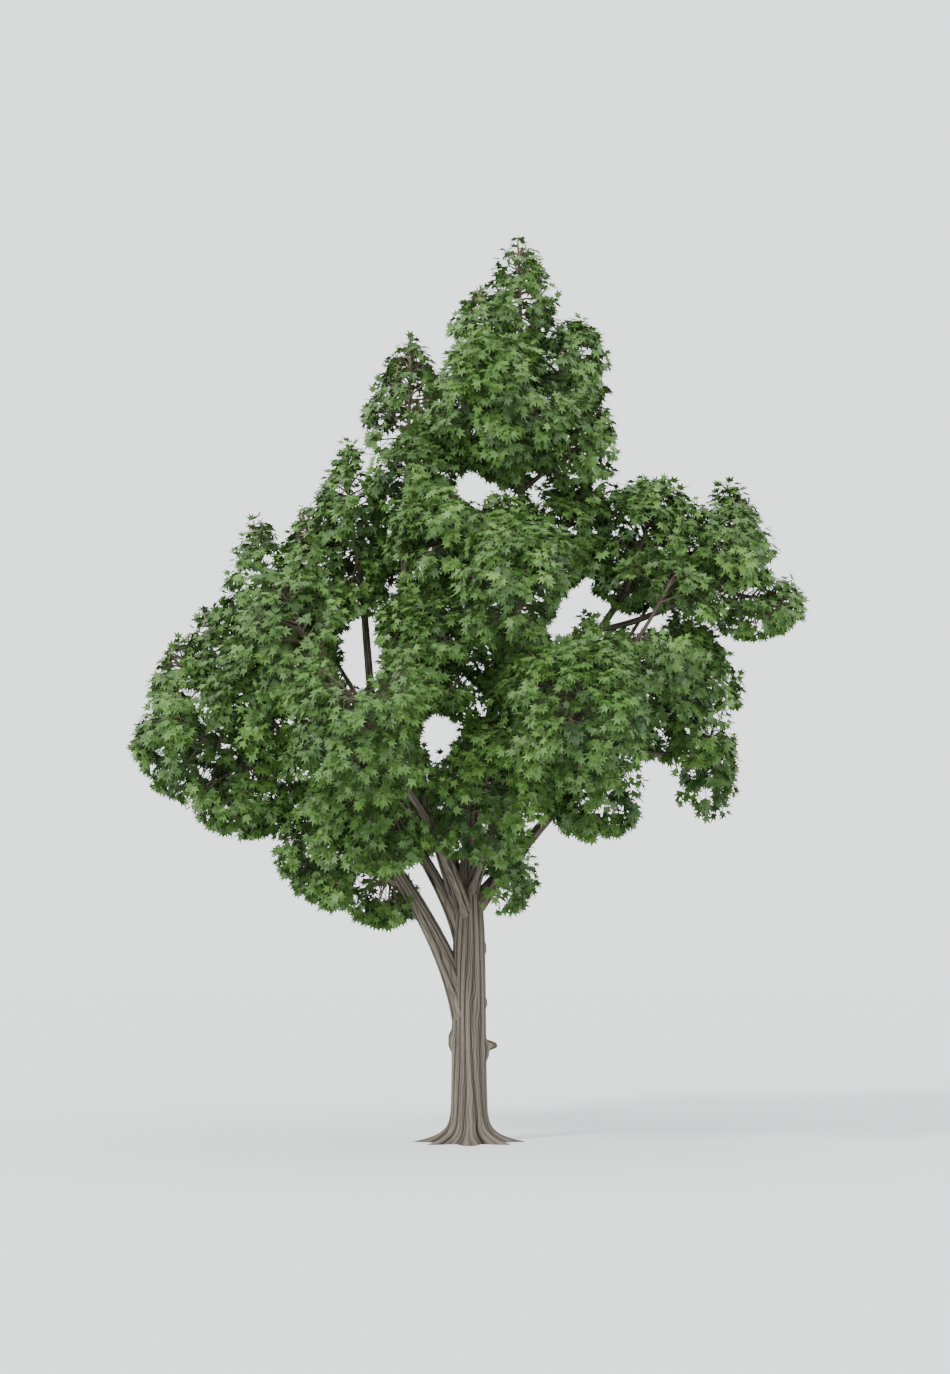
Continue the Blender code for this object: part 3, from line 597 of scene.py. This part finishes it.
def place_leaves():
    """Corner positions of every leaf that fits its space, with the shoot that it grows on.

    A leaf's way is a mean of its shoot's way and a way round it, less some of up. Its face is
    a sum of up, of outwards and of chance, made square to its way.
    """
    rows = np.repeat(np.arange(len(shoots)), LEAVES_PER_SHOOT)
    order = np.tile(np.arange(LEAVES_PER_SHOOT), len(shoots))
    shares = FIRST_LEAF + LEAF_STRETCH * order / (LEAVES_PER_SHOOT - 1)
    feet, ahead = points_along(shoots, rows, shares)
    side, other = frames(ahead)
    turn = order * GOLDEN_TURN + rng.uniform(0.0, 2.0 * np.pi, len(shoots))[rows]
    around = np.cos(turn)[:, None] * side + np.sin(turn)[:, None] * other
    lean = rng.uniform(*LEAF_LEAN, len(rows))[:, None]
    hang = rng.uniform(*LEAF_HANG, len(rows))[:, None]
    ways = unit((1.0 - lean) * ahead + lean * around - hang * UP)
    owners = shoot_owners[rows]
    outward = unit((feet - centres[owners]) / spreads[owners])
    chance = rng.uniform(-FACE_CHANCE, FACE_CHANCE, (len(rows), 3))
    face = unit(FACE_UP * UP + FACE_OUT * outward + chance)
    across = unit(np.cross(face, ways))
    normal = np.cross(ways, across)
    size = rng.uniform(*LEAF_WIDTH, len(rows))
    base = feet + (LEAF_STALK * size)[:, None] * ways
    blades = base + (TESTED_SHARE * size)[:, None] * ways
    keep = free_space(drawn_in(base, owners), owners) & within_outline(drawn_in(blades, owners))
    kept = (rows, base, ways, across, normal, size)
    rows, base, ways, across, normal, size = (a[keep] for a in kept)
    shape = size[:, None, None] * leaf_corners[None]
    places = base[:, None] + shape[:, :, 0:1] * ways[:, None]
    places += shape[:, :, 1:2] * across[:, None] + shape[:, :, 2:3] * normal[:, None]
    return places, rows


leaves, leaf_rows = place_leaves()
leafy_shoots = np.bincount(leaf_rows, minlength=len(shoots)) > 0
leafy_twigs = np.bincount(shoot_rows[leafy_shoots], minlength=len(twigs)) > 0
leafy_branches = np.bincount(twig_rows[leafy_twigs], minlength=len(branches)) > 0
print("leaves", len(leaves), "triangles", len(leaves) * len(leaf_triangles))
bare = [int((~leafy).sum()) for leafy in (leafy_shoots, leafy_twigs, leafy_branches)]
print("left bare and so left out: shoots, twigs, branches", bare)

# %% [markdown]
# ## Materials
#
# Furrowed bark is rough and grey-brown, and its colour follows the relief of its own mesh, as
# painted shade in the furrows and a painted highlight on the ridges. Leaf greens are plain base
# colours that are dealt out by twig, so neighbouring sprays differ a little, as they do in life.

# %% Helpers for materials
BARK_STOPS = (0.25, 0.62, 1.0)      # relief at which the colours of furrow, plate and ridge stand


def linear(code):
    """An sRGB hex code as linear colour, with the sRGB curve undone channel by channel."""
    channels = [int(code[k:k + 2], 16) / 255.0 for k in (1, 3, 5)]
    undone = [c / 12.92 if c <= 0.04045 else ((c + 0.055) / 1.055) ** 2.4 for c in channels]
    return (*undone, 1.0)


def add_node(tree, kind, settings=None, inputs=None):
    """A shader node with its settings, and inputs that are values or other nodes' outputs."""
    node = tree.nodes.new(kind)
    for name, value in (settings or {}).items():
        setattr(node, name, value)
    for name, value in (inputs or {}).items():
        if isinstance(value, bpy.types.NodeSocket):
            tree.links.new(value, node.inputs[name])
        else:
            node.inputs[name].default_value = value
    return node


def plain_material(name, code, roughness, specular):
    """A Principled material of one colour."""
    made = bpy.data.materials.new(name)
    made.use_nodes = True
    shader = made.node_tree.nodes["Principled BSDF"]
    shader.inputs["Base Color"].default_value = linear(code)
    shader.inputs["Roughness"].default_value = roughness
    shader.inputs["Specular IOR Level"].default_value = specular
    return made


def toned(name, codes, roughness, specular):
    """One plain material for each tone, numbered from one."""
    return [plain_material(f"{name}_{k + 1}", code, roughness, specular)
            for k, code in enumerate(codes)]


def bark_material(name, furrow, plate, ridge):
    """Rough bark coloured from furrow to ridge by the relief of its own mesh, as painted shade in
    the furrows and a painted highlight on the ridges.
    """
    made = plain_material(name, plate, roughness=0.9, specular=0.25)
    tree = made.node_tree
    relief = add_node(tree, "ShaderNodeAttribute", {"attribute_name": "relief"})
    ramp = add_node(tree, "ShaderNodeValToRGB", inputs={"Fac": relief.outputs["Fac"]})
    stops = ramp.color_ramp.elements
    stops[0].color = linear(furrow)
    stops[0].position = BARK_STOPS[0]
    stops[1].color = linear(ridge)
    stops[1].position = BARK_STOPS[2]
    middle = stops.new(BARK_STOPS[1])
    middle.color = linear(plate)
    tree.links.new(ramp.outputs["Color"], tree.nodes["Principled BSDF"].inputs["Base Color"])
    return made


print("sRGB #808080 is", round(linear("#808080")[0], 3), "in linear colour")

# %% Bark and leaf materials
# Old corky bark of the trunk and the boughs: painted shade makes it dark in the furrows, and a
# painted highlight makes it pale on the ridges
old_bark = bark_material("deeply_furrowed_bark", "#211D19", "#4A443C", "#756D61")

# Younger bark, smoother and browner, in three tones: the stems and branches inside the crown
young_barks = toned("young_bark", ("#50473C", "#615749", "#716656"), 0.85, 0.3)

# Skin of the youngest twigs, from grey-brown to green, with a faint sheen
twig_skins = toned("twig_skin", ("#5A5240", "#5F6040"), 0.7, 0.4)

# Five greens of full summer leaf, half matt: the lighter ones go to the outer sprays and the darker
# to the inner, partly as paler sun leaves and partly as painted shade inside each mass
LEAF_GREENS = ("#2A421E", "#355125", "#41602A", "#4D6F31", "#5B7F3A")
greens = toned("summer_leaf", LEAF_GREENS, 0.5, 0.4)
print("materials", [made.name for made in [old_bark] + young_barks + twig_skins + greens])

# %% [markdown]
# ## Meshes from arrays
#
# Tubes and leaves are built as whole arrays of corners and triangles, many at a time, because
# Blender's own curves and particles would be far slower, and the export drops particles.

# %% A mesh from arrays
def mesh_from_arrays(name, vertices, faces, materials, material_index=None, attributes=None):
    """A mesh object from an array of corners and an array of triangles, named by their corners."""
    mesh = bpy.data.meshes.new(name)
    mesh.vertices.add(len(vertices))
    mesh.vertices.foreach_set("co", np.ascontiguousarray(vertices, np.float32).ravel())
    mesh.loops.add(faces.size)
    mesh.loops.foreach_set("vertex_index", np.ascontiguousarray(faces, np.int32).ravel())
    mesh.polygons.add(len(faces))
    mesh.polygons.foreach_set("loop_start", np.arange(0, faces.size, 3, dtype=np.int32))
    for made in materials:
        mesh.materials.append(made)
    if material_index is not None:
        mesh.polygons.foreach_set("material_index", np.ascontiguousarray(material_index, np.int32))
    for label, values in (attributes or {}).items():
        layer = mesh.attributes.new(label, "FLOAT", "POINT")
        layer.data.foreach_set("value", np.ascontiguousarray(values, np.float32).ravel())
    mesh.update(calc_edges=True)
    mesh.validate()
    piece = bpy.data.objects.new(name, mesh)
    bpy.context.scene.collection.objects.link(piece)
    return piece


def smoothed(piece):
    """The same piece with soft shading across its edges."""
    piece.data.polygons.foreach_set("use_smooth", np.ones(len(piece.data.polygons), bool))
    return piece


def band_triangles(rings, turns):
    """Two triangles for every cell of a grid of rings, each of which closes on itself."""
    low = np.arange(rings - 1)[:, None] * turns + np.arange(turns)
    after = np.arange(rings - 1)[:, None] * turns + (np.arange(turns) + 1) % turns
    lower = np.stack([low, after, after + turns], axis=-1).reshape(-1, 3)
    upper = np.stack([low, after + turns, low + turns], axis=-1).reshape(-1, 3)
    return np.vstack([lower, upper])


def fan_triangles(first, turns, middle, upwards=True):
    """Triangles that close a ring, which starts at its first corner, with one middle corner."""
    here = first + np.arange(turns)
    after = first + (np.arange(turns) + 1) % turns
    rim = (here, after) if upwards else (after, here)
    return np.stack([*rim, np.full(turns, middle)], axis=-1)


print("two rings of six corners make", len(band_triangles(2, 6)), "triangles")

# %% Tubes from many paths at once
def square_to(tangents, run):
    """Two unit vectors square to each tangent and to each other.

    The first is square also to the axis along which the whole run goes least, so that the
    rings of one tube don't twist against each other.
    """
    helper = np.eye(3)[np.argmin(np.abs(run), axis=-1)]
    side = unit(np.cross(tangents, helper[..., None, :]))
    return side, np.cross(tangents, side)


def tube_arrays(paths, radii, sides):
    """Corners and triangles of many tubes of equal steps, with a radius at every step.

    Each ring stands square to its path, and the last point of the path is the pointed tip.
    """
    count = len(paths)
    rings = paths.shape[1] - 1
    tangents = unit(np.gradient(paths, axis=1))[:, :-1]
    side, other = square_to(tangents, unit(paths[:, -1] - paths[:, 0]))
    turn = 2.0 * np.pi * np.arange(sides) / sides
    ring = np.cos(turn)[:, None] * side[:, :, None] + np.sin(turn)[:, None] * other[:, :, None]
    walls = paths[:, :-1, None] + radii[:, :-1, None, None] * ring
    vertices = np.concatenate([walls.reshape(count, -1, 3), paths[:, -1:]], axis=1)
    tip = fan_triangles((rings - 1) * sides, sides, rings * sides)
    one = np.vstack([band_triangles(rings, sides), tip])
    faces = one[None] + (np.arange(count) * vertices.shape[1])[:, None, None]
    return vertices.reshape(-1, 3), faces.reshape(-1, 3)


def tapers(foot, tip, count, points):
    """Radii that fall evenly from foot to tip, for many tubes."""
    return np.repeat(np.linspace(foot, tip, points)[None], count, axis=0)


def join_arrays(parts):
    """Several pairs of corners and faces as one."""
    offsets = np.cumsum([0] + [len(vertices) for vertices, faces in parts[:-1]])
    vertices = np.vstack([vertices for vertices, faces in parts])
    faces = np.vstack([part[1] + offset for part, offset in zip(parts, offsets)])
    return vertices, faces


print("a tube of", STEM_STEPS, "steps has", STEM_STEPS, "rings and one tip")

# %% [markdown]
# ## Trunk and boughs
#
# Bark is relief on a grid of turn and height. Broad flutes run up the trunk, and finer furrows
# wander and break between them. Near the ground the trunk widens into eight root ridges, and
# higher up it carries a knotty stub on one side and a burl on the other. Bump alone would leave
# the outline smooth, so the relief is in the mesh, and the bark's colour reads it from there as
# painted shade in the furrows and a painted highlight on the ridges.

# %% Relief of the bark
FLUTES = 15                 # round the trunk, about 165 mm apart at its foot
FLUTE_DEPTH = 0.024
FURROWS = 42                # about 60 mm apart, twice as coarse as real ones, so that they show
FURROW_DEPTH = 0.012
RIDGE_POWER = 0.6           # below one, ridges are broad and the furrows between them narrow
BROAD_PAINTED_SHADING = 0.80           # how much painted shade the flutes and the furrows put on the bark, and painted highlight on the ridges
NARROW_PAINTED_SHADING = 0.50


def bark_relief(turn, along, flutes, furrows):
    """Flutes and furrows between -0.5 and 0.5 each, as the bare size of sines that wander.

    The wander is a slow sine along the limb plus two that run round it, so the flutes differ
    in width and lean on each other. Their strength rises and falls by one more slow sine. The
    furrows wander twice as much, and two quicker sines break them up. The numbers in the
    sines only keep them out of step.
    """
    wander = 0.70 * np.sin(0.8 * along + 0.9 * np.sin(2.0 * turn))
    wander += 0.45 * np.sin(1.9 * along + 3.0 * turn + 1.0) + 0.60 * np.sin(3.0 * turn + 0.4)
    strength = 0.72 + 0.28 * np.sin(1.3 * along + 5.0 * turn + 0.8)
    broad = strength * (np.abs(np.sin(0.5 * flutes * turn + wander)) ** RIDGE_POWER - 0.5)
    breaks = 0.80 * np.sin(5.0 * along + 5.0 * turn) + 0.50 * np.sin(11.0 * along - 4.0 * turn)
    narrow = np.abs(np.sin(0.5 * furrows * turn + 2.0 * wander + breaks)) ** RIDGE_POWER - 0.5
    return broad, narrow


def limb_mesh(name, middles, radius, along, counts, depths, square):
    """A limb's bark: a ring round each middle that carries the relief, closed at both ends.

    The counts are corners round the limb, flutes and furrows, and the depths are of the last
    two. A corner stands from its middle by the radius plus each depth times its relief.
    """
    turns, flutes, furrows = counts
    turn = 2.0 * np.pi * np.arange(turns) / turns
    turn_grid, along_grid = np.meshgrid(turn, along)
    broad, narrow = bark_relief(turn_grid, along_grid, flutes, furrows)
    full = radius + depths[0] * broad + depths[1] * narrow
    side, other = square
    ring = np.cos(turn_grid)[..., None] * side[:, None]
    ring = ring + np.sin(turn_grid)[..., None] * other[:, None]
    walls = middles[:, None] + full[..., None] * ring
    vertices = np.vstack([walls.reshape(-1, 3), middles[:1], middles[-1:]])
    corners = len(along) * turns
    faces = np.vstack([
        band_triangles(len(along), turns),
        fan_triangles(0, turns, corners, upwards=False),
        fan_triangles(corners - turns, turns, corners + 1),
    ])
    # The bark's tone: painted shade in the flutes and furrows, and a painted highlight on the
    # ridges between them
    relief = np.clip(0.5 + BROAD_PAINTED_SHADING * broad + NARROW_PAINTED_SHADING * narrow, 0.0, 1.0)
    tones = {"relief": np.append(relief.ravel(), (0.5, 0.5))}
    return smoothed(mesh_from_arrays(name, vertices, faces, [old_bark], attributes=tones))


print("furrows", round(2.0 * math.pi * TRUNK_GIRTH[0][1] / FURROWS, 3), "m apart at the foot")

# %% Bark of the trunk
TRUNK_TURNS = 168
TRUNK_FINE_TOP = 6.6        # below this the rings stand close together
TRUNK_FINE_STEP = 0.022
TRUNK_COARSE_STEP = 0.10
KNOBS = (                   # azimuth in degrees, height, reach past the bark, width
    (4.0, 2.12, 0.185, 0.10), (3.0, 2.00, 0.06, 0.20), (176.0, 2.22, 0.075, 0.21),
    (2.0, 3.05, 0.03, 0.10), (5.0, 4.25, 0.03, 0.12),
)
KNOB_EDGE = 4.0             # how sharply a knob falls off at its rim


def trunk_piece():
    """The trunk and its leader, with root ridges, flutes, furrows and knobs.

    The flare falls off with height by a power of e, and a cosine of the turn parts it into
    ridges. A knob adds its reach times a power of e that falls with distance over its width.
    """
    heights = np.concatenate([
        np.arange(0.0, TRUNK_FINE_TOP, TRUNK_FINE_STEP),
        np.arange(TRUNK_FINE_TOP, TRUNK_TOP, TRUNK_COARSE_STEP),
        [TRUNK_TOP],
    ])
    turn = 2.0 * np.pi * np.arange(TRUNK_TURNS) / TRUNK_TURNS
    bare_radius = trunk_radius(heights)[:, None]
    ridge = 0.5 + 0.5 * np.cos(ROOT_RIDGES * turn)
    flare = FLARE_REACH * np.exp(-heights / FLARE_HEIGHT)[:, None]
    radius = bare_radius + flare * (1.0 - ROOT_GROOVE * (1.0 - ridge))
    for azimuth, height, reach, width in KNOBS:
        apart = np.angle(np.exp(1j * (turn - math.radians(azimuth)))) * bare_radius
        off = np.hypot(apart, heights[:, None] - height) / width
        radius = radius + reach * np.exp(-off ** KNOB_EDGE)
    slim = bare_radius / TRUNK_GIRTH[0][1]
    depths = (FLUTE_DEPTH * slim, FURROW_DEPTH * slim)
    square = np.repeat(np.eye(3)[:2, None], len(heights), axis=1)
    counts = (TRUNK_TURNS, FLUTES, FURROWS)
    return limb_mesh("trunk_bark", trunk_centre(heights), radius, heights, counts, depths, square)


# Each piece with the nodes it takes the place of and its slot
pieces = {"trunk_bark": (trunk_piece(), ["trunk"], "furrowed_bark")}
print("trunk bark triangles", len(pieces["trunk_bark"][0].data.polygons))

# %% Bark of the boughs
BOUGH_RINGS_PER_METRE = 11
BOUGH_CORNER_GAP = 0.018    # metres between two corners round a bough
BOUGH_TURNS = (24, 72)      # fewest and most corners round it
BOUGH_RELIEF = (0.09, 0.07)     # depths of its flutes and furrows as shares of its radius
FEWEST_FLUTES = 5
FEWEST_FURROWS = 9
COLLAR_SWELL = 0.60         # how much thicker a bough is where it leaves its parent
COLLAR_START = 0.3
COLLAR_LENGTH = 1.10
COLLAR_FIT = 0.88           # most that a collar may take up of its parent's own thickness


def parent_radius(name):
    """How thick a bough's parent is where the bough leaves it."""
    parent, place = BOUGHS[name][:2]
    if parent == "trunk":
        return float(trunk_radius(place))
    radii = limbs[parent][1]
    return float(radii[int(round(place * (len(radii) - 1)))])


def bough_piece(name):
    """A bough with its collar, its taper and its own finer bark.

    The collar adds a share of the radius that falls by a power of e with the way from the foot.
    """
    path, radii = limbs[name]
    length = np.linalg.norm(np.diff(path, axis=0), axis=1).sum()
    rings = int(length * BOUGH_RINGS_PER_METRE)
    turns = int(np.clip(round(2.0 * np.pi * radii[0] / BOUGH_CORNER_GAP), *BOUGH_TURNS))
    shares = np.linspace(0.0, 1.0, rings)
    # The elbow is worked back from the middle of the bough's coarse line
    elbow = 2.0 * path[LIMB_STEPS // 2] - 0.5 * (path[0] + path[-1])
    middles = bend(path[0], elbow, path[-1], rings - 1)
    along = shares * length
    radius = np.interp(shares * (len(path) - 1), np.arange(len(path)), radii)
    swell = min(COLLAR_SWELL, COLLAR_FIT * parent_radius(name) / radii[0] - 1.0)
    radius = radius * (1.0 + swell * np.exp(-np.maximum(along - COLLAR_START, 0.0) / COLLAR_LENGTH))
    square = square_to(unit(np.gradient(middles, axis=0)), unit(middles[-1] - middles[0]))
    depths = [share * radius[:, None] for share in BOUGH_RELIEF]
    flutes = max(FEWEST_FLUTES, int(round(FLUTES * radii[0] / TRUNK_GIRTH[0][1])))
    counts = (turns, flutes, max(FEWEST_FURROWS, turns // 4))
    return limb_mesh(name + "_bark", middles, radius[:, None], along, counts, depths, square)


for name in BOUGHS:
    pieces[name + "_bark"] = (bough_piece(name), [name], "furrowed_bark")
bark_triangles = [len(row[0].data.polygons) for row in pieces.values()]
print("bark pieces", len(pieces), "triangles", sum(bark_triangles))

# %% [markdown]
# ## The crown, region by region
#
# The masses are grouped by where they stand. Each region gives one piece of stems and
# branches, one of twigs and shoots, and one of leaves, each under 200,000 triangles. A leaf
# takes the green of its twig: outer twigs lean to the lighter greens, inner ones to the darker,
# partly as paler sun leaves outside and partly as painted shade inside each mass.

# %% Regions and tints
SIDE_SPLIT = 0.6            # x that parts the left from the right in front and behind
TOP_FROM = 14.0             # heights from which a mass belongs to the top, or is high
HIGH_FROM = 10.5
MIDDLE_TINT = 0.8           # tint at a mass's middle, what its edge adds, and how far chance goes
EDGE_TINT = 2.2
TINT_CHANCE = 0.75


def region_of(name):
    """Which part of the crown a mass stands in, from its name and its centre."""
    x, depth, height = masses[name][0]
    if name.startswith(("front_", "back_")):
        return name.split("_")[0] + ("_left" if x < SIDE_SPLIT else "_right")
    if height > TOP_FROM:
        return "top"
    side = "left" if x < 0.0 else "right"
    return f"{side}_high" if height > HIGH_FROM else f"{side}_low"


regions = {}
for index, name in enumerate(mass_names):
    regions.setdefault(region_of(name), []).append(index)

# Outer twigs get lighter greens and inner ones darker: partly paler sun leaves, partly painted
# shade inside each mass
outness = np.linalg.norm((twigs[:, -1] - centres[twig_owners]) / spreads[twig_owners], axis=1)
tint = MIDDLE_TINT + EDGE_TINT * outness + rng.normal(0.0, TINT_CHANCE, len(twigs))
tint = np.clip(np.round(tint), 0, len(greens) - 1).astype(int)
leaf_tints = tint[shoot_rows[leaf_rows]]
print("regions", list(regions), "leaves of each green", np.bincount(leaf_tints))

# %% Join the crown's pieces
STEM_GIRTH = (0.062, 0.026)     # radii at foot and tip
BRANCH_GIRTH = (0.026, 0.010)
TWIG_GIRTH = (0.011, 0.005)
SHOOT_GIRTH = (0.006, 0.003)
STEM_SIDES = 6
BRANCH_SIDES = 4
TWIG_SIDES = 3


def wood_piece(name, materials, sets):
    """Sets of tubes as one mesh, where each tube takes one of the tones by chance."""
    parts = []
    tones = []
    for paths, radii, sides in sets:
        count, points = paths.shape[:2]
        vertices, faces = tube_arrays(paths, tapers(*radii, count, points), sides)
        parts.append((vertices, faces))
        tones.append(np.repeat(rng.integers(0, len(materials), count), len(faces) // count))
    return smoothed(mesh_from_arrays(name, *join_arrays(parts), materials, np.concatenate(tones)))


def leaf_piece(name, chosen):
    """All the chosen leaves as one mesh, each with the green of its twig."""
    places = leaves[chosen]
    corners = places.shape[1]
    faces = leaf_triangles[None] + (np.arange(len(places)) * corners)[:, None, None]
    index = np.repeat(leaf_tints[chosen], len(leaf_triangles))
    return mesh_from_arrays(name, places.reshape(-1, 3), faces.reshape(-1, 3), greens, index)


for region, members in regions.items():
    nodes = [mass_names[k] for k in members]
    wood = wood_piece(f"{region}_branches", young_barks, [
        (stems[members], STEM_GIRTH, STEM_SIDES),
        (branches[np.isin(branch_owners, members) & leafy_branches], BRANCH_GIRTH, BRANCH_SIDES),
    ])
    pieces[f"{region}_branches"] = (wood, [], "furrowed_bark")
    fine = wood_piece(f"{region}_twigs", twig_skins, [
        (twigs[np.isin(twig_owners, members) & leafy_twigs], TWIG_GIRTH, TWIG_SIDES),
        (shoots[np.isin(shoot_owners, members) & leafy_shoots], SHOOT_GIRTH, TWIG_SIDES),
    ])
    pieces[f"{region}_twigs"] = (fine, [], "furrowed_bark")
    chosen = np.isin(shoot_owners[leaf_rows], members)
    pieces[f"{region}_leaves"] = (leaf_piece(f"{region}_leaves", chosen), nodes, "leaf_green_1")
print("pieces", len(pieces))

# %% [markdown]
# ## Every piece on the tree's body
#
# The bark takes the place of its limb's solid, and the leaves of a region take the place of the
# masses there. The branches and twigs ride along with no solid of their own.

# %% Ride and replace
for name, (piece, nodes, slot) in pieces.items():
    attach(piece, "root")
    if nodes:
        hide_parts(*nodes)
    piece.data.calc_loop_triangles()
triangles = {name: len(row[0].data.loop_triangles) for name, row in pieces.items()}
print("triangles", sum(triangles.values()), "largest piece", max(triangles.values()))

# %% [markdown]
# ## Floor, light and camera
#
# A pale round floor, soft light from the upper left, and a long lens far away and level with
# the middle of the tree, as in the drawing.

# %% Floor and light
FLOOR_RADIUS = 60.0
FLOOR_CORNERS = 128
SKY_STRENGTH = 2.2
SUN_STRENGTH = 2.2
SUN_SPREAD = 12.0           # degrees, wide enough for soft shadows
SUN_TURN = (48.0, -14.0, -32.0)     # degrees about x, y and z

bpy.ops.mesh.primitive_circle_add(vertices=FLOOR_CORNERS, radius=FLOOR_RADIUS, fill_type="NGON")
floor = bpy.context.object
floor.name = "floor"
# Pale matt floor, close to the backdrop
floor.data.materials.append(plain_material("pale_floor", "#E6E7E7", roughness=0.95, specular=0.1))

world = bpy.data.worlds.new("pale_sky")
bpy.context.scene.world = world
world.use_nodes = True
background = world.node_tree.nodes["Background"].inputs
background["Color"].default_value = linear("#F1F3F5")
background["Strength"].default_value = SKY_STRENGTH

sun_light = bpy.data.lights.new("soft_sun", "SUN")
sun_light.energy = SUN_STRENGTH
sun_light.angle = math.radians(SUN_SPREAD)
sun = bpy.data.objects.new("soft_sun", sun_light)
sun.rotation_euler = [math.radians(angle) for angle in SUN_TURN]
bpy.context.scene.collection.objects.link(sun)
print("floor", 2.0 * FLOOR_RADIUS, "m across, sun", SUN_SPREAD, "degrees wide")

# %% Camera
CAMERA_DISTANCE = 120.0
FRAME_HEIGHT = 30.2         # metres that the picture's height spans at the trunk
FRAME_CENTRE = (0.13, 9.99)
SENSOR_HEIGHT = 24.0        # millimetres
VIEW_END = 1000.0

camera_data = bpy.data.cameras.new("camera")
camera_data.sensor_fit = "VERTICAL"
camera_data.sensor_height = SENSOR_HEIGHT
camera_data.lens = SENSOR_HEIGHT * CAMERA_DISTANCE / FRAME_HEIGHT
camera_data.clip_end = VIEW_END
camera = bpy.data.objects.new("camera", camera_data)
camera.location = (FRAME_CENTRE[0], -CAMERA_DISTANCE, FRAME_CENTRE[1])
camera.rotation_euler = (math.radians(90.0), 0.0, 0.0)
bpy.context.scene.collection.objects.link(camera)
bpy.context.scene.camera = camera
print("lens", round(camera_data.lens, 1), "mm at", CAMERA_DISTANCE, "m")
